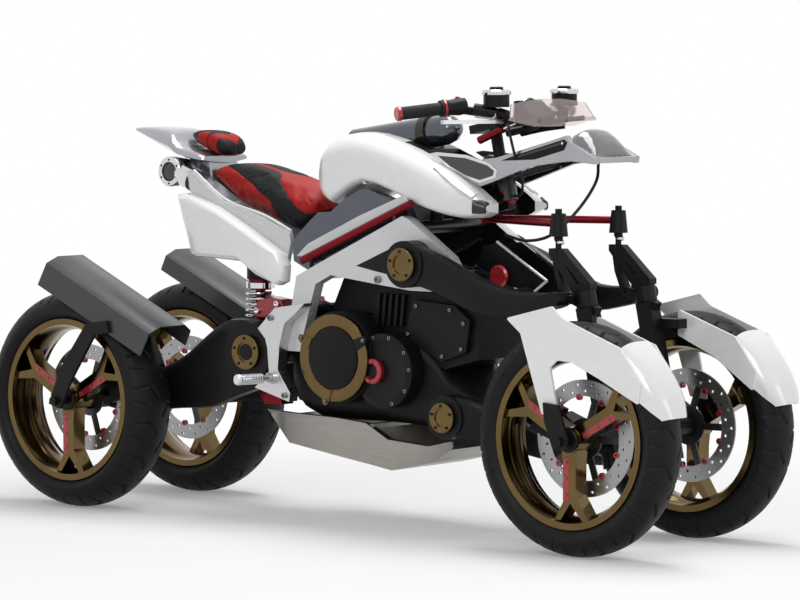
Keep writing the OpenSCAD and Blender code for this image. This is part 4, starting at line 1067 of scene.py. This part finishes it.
# %% Cylinder heads
HEAD_BLOCK = ((0.075, 0.545), (0.092, 0.640), (0.150, 0.652), (0.300, 0.640), (0.400, 0.636), (0.452, 0.590),
              (0.440, 0.470), (0.330, 0.440), (0.180, 0.500))
HEAD_COVER = ((0.205, 0.520), (0.235, 0.622), (0.372, 0.612), (0.425, 0.575), (0.412, 0.490), (0.330, 0.462))
HEAD_BOLTS = ((0.218, 0.530), (0.246, 0.606), (0.360, 0.600), (0.406, 0.566), (0.398, 0.498), (0.334, 0.476))
HEAD_HALF, HEAD_IN, RIB_FACE, HEAD_FACE = 0.118, 0.116, 0.130, 0.134
HEAD_RIBS, HEAD_RIB_START, HEAD_RIB_STEP = 5, 0.100, 0.021
heads = Piece()
heads.plate(HEAD_BLOCK, -HEAD_HALF, HEAD_HALF, ENGINE_BLACK)
for sign in SIDES.values():
    heads.plate(HEAD_COVER, sign * HEAD_IN, sign * HEAD_FACE, SATIN_BLACK)
    for k in range(HEAD_RIBS):
        foot = HEAD_RIB_START + HEAD_RIB_STEP * k
        rib = [(foot, 0.548), (foot + 0.009, 0.548), (foot + 0.018, 0.634), (foot + 0.009, 0.634)]
        heads.plate(rib, sign * HEAD_IN, sign * RIB_FACE, SATIN_BLACK)
    for x, z in HEAD_BOLTS:
        heads.bolt((x, sign * HEAD_FACE, z), (0, sign, 0), COVER_BOLT_R, BOLT_STEEL)
heads.place("cylinder_heads", "chassis", 0.004)
print("cylinder heads", len(heads.faces), "faces")

# %% Silver strip
STRIP = ((-0.152, 0.726), (-0.110, 0.762), (0.070, 0.842), (0.226, 0.902), (0.240, 0.884), (0.070, 0.808),
         (-0.108, 0.726))
STRIP_IN, STRIP_OUT = 0.1500, 0.1615
strip = Piece()
for sign in SIDES.values():
    strip.plate(STRIP, sign * STRIP_IN, sign * STRIP_OUT, FRAME_SILVER)
strip.place("silver_strip", "chassis", 0.003)
print("silver strip", 2)

# %% [markdown]
# ## Rear linkage and spring
# A red rocker sits between the rear arms and an upright damper. The spring round the damper is a helix: its
# points come from a sine and a cosine that climb by one pitch a turn, and a tube follows them.

# %% Rear linkage
ROCKER = ((-0.372, 0.552), (-0.352, 0.590), (-0.306, 0.606), (-0.266, 0.600), (-0.258, 0.580),
          (-0.294, 0.558), (-0.330, 0.548))
LOWER_LINK = ((-0.344, 0.346), (-0.328, 0.358), (-0.262, 0.330), (-0.256, 0.312), (-0.320, 0.310))
LINK_IN, ROCKER_OUT, LOWER_OUT = 0.050, 0.092, 0.098
link = Piece()
for sign in SIDES.values():
    link.plate(ROCKER, sign * LINK_IN, sign * ROCKER_OUT, BRIGHT_RED)
    for x, z in ((-0.278, 0.588), (-0.350, 0.566)):
        link.bolt((x, sign * ROCKER_OUT, z), (0, sign, 0), 0.009, CHROME)
    link.plate(LOWER_LINK, sign * LINK_IN, sign * LOWER_OUT, RED)
link.place("rear_linkage", "chassis", 0.003)
print("rear linkage", len(link.faces), "faces")

# %% Rear spring
SPRING_X, SPRING_LOW, SPRING_R, SPRING_PITCH, SPRING_TURNS = -420, 536, 39, 15, 5
TOP_CUP = ((0.0345, 0), (0.041, 0), (0.041, 0.016), (0.0345, 0.016))
DAMPER_SLEEVE = ((0.0345, 0), (0.038, 0), (0.038, 0.050), (0.0345, 0.050))
coil = [mm(SPRING_X + SPRING_R * math.cos(a), SPRING_R * math.sin(a),
           SPRING_LOW + SPRING_PITCH * a / (2 * math.pi))
        for a in np.linspace(0, 2 * math.pi * SPRING_TURNS, 161)]
spring = Piece()
spring.tube(coil, 0.0042, CHROME, 8)
spring.lathe(TOP_CUP, mm(SPRING_X, 0, 622), UP, CHROME, 40)
spring.lathe(DAMPER_SLEEVE, mm(SPRING_X, 0, 646), UP, SATIN_BLACK, 40)
spring.place("rear_spring", "chassis", 0.0008)
print("rear spring", SPRING_TURNS, "turns")

# %% [markdown]
# ## Exhaust ends
# Each silencer ends in a short can that lies across the tail, with its chrome ring on the outside. The
# can is round, so it is turned from one profile, and a bent pipe leads into it from under the seat.

# %% Exhaust ends
CAN = ((0, 0.050), (0.034, 0.052), (0.037, 0.060), (0.037, 0.098), (0.042, 0.100), (0.042, 0.124),
       (0.039, 0.127), (0.027, 0.127), (0.026, 0.118), (0, 0.118))
CAN_LID = ((0.0255, 0), (0.0255, 0.003), (0.020, 0.005), (0, 0.005))
CAN_BAND = ((0.0374, 0), (0.0386, 0.001), (0.0386, 0.008), (0.0374, 0.009))
CAN_HOLE_SHADE = ((0.0034, 0), (0.0034, 0.0006), (0, 0.0006))
CAN_HOLES, HOLE_CIRCLE = 6, 0.033
LID_OUT, BAND_OUT, HOLE_OUT = 0.118, 0.080, 0.127
PIPE = ((-572, 108, 921), (-600, 104, 930), (-625, 92, 940), (-640, 78, 944))
can = mm(-648, 0, 944)
cans = Piece()
for sign in SIDES.values():
    out = Vector((0, sign, 0))
    cans.lathe(CAN, can, out, CHROME, 48)
    cans.lathe(CAN_LID, can + out * LID_OUT, out, DARK_GREY, 40)
    cans.lathe(CAN_BAND, can + out * BAND_OUT, out, SATIN_BLACK, 48)
    # Painted shade: each hole in the ring is a thin black disc, for the dark inside of the can.
    for k in range(CAN_HOLES):
        x, z = turned((can.x, can.z), 360 / CAN_HOLES * k + 30, HOLE_CIRCLE)
        cans.lathe(CAN_HOLE_SHADE, (x, sign * HOLE_OUT, z), out, ENGINE_BLACK, 12)
    cans.tube(bend(on_side(sign, PIPE), 4), 0.031, CHROME, 24)
exhaust = cans.place("exhaust_cans", "chassis", 0.0008)
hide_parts("silencers")
print("exhaust ends", 2)

# %% [markdown]
# ## Beak
# The nose of the vehicle is a beak: two thin blades and a sloping deck that carries a tinted lens. The
# blades are silver outside and lined in black. The lens is a grid of points whose height falls off
# towards its edges, with a second grid just below it, so that light passes through a real thickness.

# %% Beak shell
BLADE = ((0.300, 0.992), (0.360, 0.963), (0.430, 0.926), (0.470, 0.938), (0.603, 0.984), (0.722, 0.998),
         (0.804, 0.991), (0.806, 1.008), (0.726, 1.046), (0.712, 1.064), (0.649, 1.046), (0.485, 1.003),
         (0.402, 0.993), (0.318, 1.003))
LINING = ((0.440, 0.935), (0.470, 0.942), (0.603, 0.987), (0.700, 1.000), (0.690, 1.050), (0.485, 0.999))
DECK = ((0.694, 1.040), (0.712, 1.052), (0.806, 1.007), (0.806, 0.993), (0.724, 1.012))
DECK_BELOW = ((0.694, 1.038), (0.724, 1.010), (0.790, 0.996), (0.780, 0.993), (0.716, 0.999), (0.660, 1.012))
BLADE_IN, BLADE_OUT, LINING_IN, DECK_HALF, BELOW_HALF = 0.0800, 0.0975, 0.0780, 0.0802, 0.0790
beak = Piece()
for sign in SIDES.values():
    beak.plate(BLADE, sign * BLADE_IN, sign * BLADE_OUT, COWL_SILVER)
    beak.plate(LINING, sign * LINING_IN, sign * DECK_HALF, SATIN_BLACK)
beak.plate(DECK, -DECK_HALF, DECK_HALF, COWL_SILVER)
beak.plate(DECK_BELOW, -BELOW_HALF, BELOW_HALF, SATIN_BLACK)
cowl = beak.place("beak_shell", "chassis", 0.0015)
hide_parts("front_cowl")
print("beak shell", len(beak.faces), "faces")

# %% Beak lens
LENS_TOP = ((0.706, 1.056), (0.714, 1.072), (0.728, 1.080), (0.746, 1.076), (0.766, 1.063), (0.785, 1.043),
            (0.799, 1.015))
LENS_EDGE = ((0.706, 1.054), (0.799, 1.0105))
LENS_HALF, LENS_TAPER, LENS_WALL, LENS_STEPS = 0.086, 0.18, 0.004, 25
upper = []
for i in range(LENS_STEPS):
    forward = i / (LENS_STEPS - 1)
    x = LENS_EDGE[0][0] + (LENS_EDGE[1][0] - LENS_EDGE[0][0]) * forward
    half = LENS_HALF * (1 - LENS_TAPER * forward ** 3)
    top, edge = (np.interp(x, *zip(*line)) for line in (LENS_TOP, LENS_EDGE))
    for k in range(LENS_STEPS):
        share = 2 * k / (LENS_STEPS - 1) - 1
        upper.append((x, half * share, edge + (top - edge) * (1 - abs(share) ** 3)))
lower = [(x, y, z - LENS_WALL) for x, y, z in upper]
count, last = len(upper), LENS_STEPS - 1
roof = [(i * LENS_STEPS + k, i * LENS_STEPS + k + 1, (i + 1) * LENS_STEPS + k + 1, (i + 1) * LENS_STEPS + k)
        for i in range(last) for k in range(last)]
ceiling = [tuple(count + i for i in reversed(face)) for face in roof]
border = list(range(LENS_STEPS)) + [i * LENS_STEPS + last for i in range(1, LENS_STEPS)]
border += [last * LENS_STEPS + k for k in range(last - 1, -1, -1)]
border += [i * LENS_STEPS for i in range(last - 1, 0, -1)]
walls = [(a, b, b + count, a + count) for a, b in zip(border, border[1:] + border[:1])]
lens = Piece()
lens.add(upper + lower, roof + ceiling + walls, GREY_LENS)
shade = lens.place("beak_lens", "chassis")
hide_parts("cowl_lens")
print("beak lens", count, "points a side")

# %% [markdown]
# ## Panels, piping and fins
# Flat panels finish the front: a dark inset in each blade, a framed lens over each nose, a dark cradle
# behind the front wheels, and a black sheet in the frame's window as painted shade. They stand a
# millimetre or two proud, since two faces in one plane would flicker. White piping follows the seat's
# edge, and thin silver fins edge the cradle.

# %% Front panels
INSET = ((0.500, 0.995), (0.610, 1.000), (0.706, 1.026), (0.716, 1.046), (0.706, 1.054), (0.560, 1.014))
INSET_BAR = ((0.556, 1.004), (0.694, 1.040), (0.694, 1.046), (0.556, 1.009))
LAMP_RIM = ((0.262, 1.010), (0.288, 1.014), (0.385, 1.008), (0.462, 0.988), (0.488, 0.971), (0.483, 0.950),
            (0.431, 0.935), (0.382, 0.947), (0.321, 0.975))
LAMP_GLASS = ((0.290, 1.005), (0.383, 1.000), (0.456, 0.982), (0.478, 0.968), (0.474, 0.955), (0.431, 0.943),
              (0.386, 0.954), (0.330, 0.978))
CRADLE = ((0.372, 0.690), (0.402, 0.628), (0.570, 0.654), (0.612, 0.684), (0.455, 0.776), (0.405, 0.768))
# Painted shade: a black sheet fills the frame's window, for the dark inside of the frame.
FRAME_WINDOW_SHADE = ((0.080, 0.709), (0.246, 0.779), (0.262, 0.762), (0.240, 0.700), (0.214, 0.686), (0.140, 0.698))
PANELS = ((INSET, 0.0970, 0.0985, SATIN_BLACK), (INSET_BAR, 0.0980, 0.1000, DARK_GREY),
          (LAMP_RIM, 0.0970, 0.0992, CHROME), (LAMP_GLASS, 0.0985, 0.1004, SMOKED),
          (CRADLE, 0.0430, 0.0500, SATIN_BLACK), (FRAME_WINDOW_SHADE, 0.1840, 0.1858, SATIN_BLACK))
panels = Piece()
for sign in SIDES.values():
    for outline, inner, outer, panel_finish in PANELS:
        panels.plate(outline, sign * inner, sign * outer, panel_finish)
    panels.bolt((0.702, sign * 0.0985, 1.044), (0, sign, 0), 0.004, CHROME)
panels.place("cowl_panels", "chassis", 0.0006)
print("front panels", 2 * len(PANELS))

# %% Seat piping
PIPING = ((-545, 137, 950), (-427, 137, 872), (-285, 137, 832), (-188, 137, 792))
piping = Piece()
for sign in SIDES.values():
    piping.tube(bend(on_side(sign, PIPING), 12), 0.0042, WHITE_PIPING, 10)
piping.place("seat_piping", "chassis")
print("seat piping", 2)

# %% Front fins
FIN_Y = 56
FINS = (((455, 780), (620, 683)), ((470, 664), (574, 650), (620, 683)))
SHOCK_CAP = ((0.030, 0), (0.030, 0.006), (0.024, 0.010), (0, 0.010))
fins = Piece()
for sign in SIDES.values():
    for fin in FINS:
        fins.tube([mm(x, sign * FIN_Y, z) for x, z in fin], 0.004, FRAME_SILVER, 8)
    fins.lathe(SHOCK_CAP, mm(465, sign * FIN_Y, 690), (0, sign, 0), BRIGHT_RED)
fins.place("front_fins", "chassis")
print("front fins", 2 * len(FINS))

# %% [markdown]
# ## Mast legs
# Each mast stands on two legs: the solid one leans forward, and this one closes the A behind it. Both
# ride on the knuckle, so they steer with the wheel. A flat plate with a soft bevel is enough for a
# forged leg that is seen from the side.

# %% Mast legs
LEG = ((0.699, 0.770), (0.715, 0.772), (0.726, 0.706), (0.752, 0.650), (0.736, 0.640), (0.710, 0.704))
TIE = ((0.738, 0.666), (0.742, 0.642), (0.836, 0.604), (0.846, 0.626), (0.770, 0.660))
MAST_NUT = ((0.006, 0), (0.0105, 0.002), (0.0105, 0.010), (0.006, 0.012))
LEG_IN, LEG_OUT = 0.117, 0.145
for side, sign in SIDES.items():
    legs = Piece()
    legs.plate(LEG, sign * LEG_IN, sign * LEG_OUT, SATIN_BLACK)
    legs.plate(TIE, sign * LEG_IN, sign * LEG_OUT, SATIN_BLACK)
    legs.lathe(MAST_NUT, (0.7205, sign * (LEG_IN + LEG_OUT) / 2, 0.784), UP, CHROME, 20)
    legs.place(f"mast_leg_{side}", f"knuckle_{side}", 0.0025)
print("mast legs", 2)

# %% [markdown]
# ## Handlebar
# The grips have red collars and end caps, and each reservoir has a chrome lid. Most of these are turned
# shapes on the axis of the grip or of the reservoir. A red damper, a ring round the stem and the dash
# complete the cockpit, and all of it rides on the steering body.

# %% Handlebar trim
GRIP_IN, GRIP_END, LID_AT = (442, 250, 1134), (377, 362, 1120), (523, 147, 1178)
END_CAP = ((0.0152, 0), (0.019, 0.001), (0.019, 0.009), (0.0165, 0.011), (0.0165, 0.0125), (0, 0.0125))
COLLAR = ((0.0125, 0.006), (0.0235, 0.006), (0.0235, 0.012), (0.0125, 0.012))
SWITCH_BOX = ((0.0115, -0.052), (0.021, -0.050), (0.023, -0.030), (0.020, -0.006), (0.022, 0.004),
              (0.0115, 0.004))
LID = ((0.0375, -0.010), (0.0385, -0.008), (0.0385, 0), (0.034, 0.003), (0.016, 0.003))
LID_CAP = ((0.018, 0.003), (0.018, 0.009), (0.014, 0.011), (0, 0.011))
LID_BAND = ((0.030, -0.032), (0.0335, -0.030), (0.0335, -0.012), (0.030, -0.010))
MASTER = ((470, 172, 1130), (520, 150, 1122), (536, 118, 1112))
SCREEN_STAY = ((452, 46, 1092), (520, 90, 1096), (588, 148, 1104))
SCREEN_REST = ((470, 30, 1064), (540, 34, 1078), (590, 60, 1086))


def grip_trim(bars, sign):
    """End cap, collar, switch box and button of one grip."""
    inner, outer = on_side(sign, (GRIP_IN, GRIP_END))
    along = (outer - inner).normalized()
    bars.lathe(END_CAP, outer, along, BRIGHT_RED)
    bars.lathe(COLLAR, inner, along, BRIGHT_RED)
    bars.lathe(SWITCH_BOX, inner, along, SATIN_BLACK)
    bars.bolt(inner + along * -0.028 + Vector((0, 0, 0.021)), UP, 0.006, BRIGHT_RED)


def reservoir_trim(bars, sign):
    """Lid and band of one reservoir, its cylinder and the screen's stays."""
    lid = on_side(sign, [LID_AT])[0]
    bars.lathe(LID, lid, UP, CHROME, 40)
    bars.lathe(LID_CAP, lid, UP, SATIN_BLACK)
    bars.tube(on_side(sign, MASTER), 0.016, SATIN_BLACK, 16)
    bars.lathe(LID_BAND, lid, UP, SATIN_BLACK)
    bars.tube(bend(on_side(sign, SCREEN_STAY), 4), 0.007, SATIN_BLACK, 10)
    bars.tube(bend(on_side(sign, SCREEN_REST), 4), 0.009, SATIN_BLACK, 10)


bars = Piece()
for sign in SIDES.values():
    grip_trim(bars, sign)
    reservoir_trim(bars, sign)
bars.place("handlebar_trim", "steering", 0.0005)
print("handlebar trim", len(bars.faces), "faces")

# %% Damper, stem ring and dash
DAMPER = ((398, -58, 1046), (478, -58, 1078), (520, -58, 1094))
STEM_RING = ((0.020, -0.010), (0.029, -0.009), (0.031, 0), (0.029, 0.009), (0.020, 0.010))
STEM_NUT = ((0.008, -0.008), (0.019, -0.007), (0.021, 0.008), (0.017, 0.012), (0.008, 0.009))
STEM_AT, STEM_FACING = mm(446, 0, 902), (0.94, 0, 0.34)
DASH = ((0.500, 1.094), (0.560, 1.092), (0.566, 1.112), (0.520, 1.152), (0.506, 1.150))
DASH_HALF = 0.052
DIAL = ((0.040, 0), (0.040, 0.006), (0.036, 0.008), (0.036, 0.004), (0, 0.004))
damper = Piece()
body_end, rod_start, rod_end = (mm(*p) for p in DAMPER)
damper.tube([body_end, rod_start], 0.0105, RED, 20)
damper.tube([rod_start, rod_end], 0.0055, CHROME, 14)
damper.place("steering_damper", "steering")
ring = Piece()
ring.lathe(STEM_RING, STEM_AT, STEM_FACING, RED, 40)
ring.lathe(STEM_NUT, STEM_AT, STEM_FACING, CHROME, 40)
ring.place("stem_ring", "steering")
dash = Piece()
dash.plate(DASH, -DASH_HALF, DASH_HALF, SATIN_BLACK)
dash.lathe(DIAL, mm(505, 0, 1122), (-0.9, 0, 0.44), CHROME, 40)
dash.place("dash", "steering", 0.004)
print("damper, stem ring and dash")

# %% [markdown]
# ## Hoses
# Two hoses hang free at the front. A few listed points fix each route, and a smooth path runs
# through them. The brake hose goes from the steering to the chassis, so it rides on neither body and
# its points are baked into place. A curve with a round bevel would look the same as the mesh tube
# used here.

# %% Hoses
HOSES = {
    "brake_hose": ([(572, -160, 1090), (560, -132, 1050), (548, -96, 1000), (536, -52, 938), (508, -24, 905),
                    (478, -16, 900)], 0.0036),
    "front_hose": ([(684, 82, 990), (698, 52, 940), (696, -20, 872), (640, -58, 806), (556, -56, 786),
                    (468, -40, 798)], 0.0042)}
for name, (points, r) in HOSES.items():
    path = bend([mm(*p) for p in points], 7)
    hose = Piece()
    hose.tube(path, r, HOSE_RUBBER, 10)
    crosses = name == "brake_hose"
    line = hose.place(name, None if crosses else "chassis")
    if crosses:
        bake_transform(line)
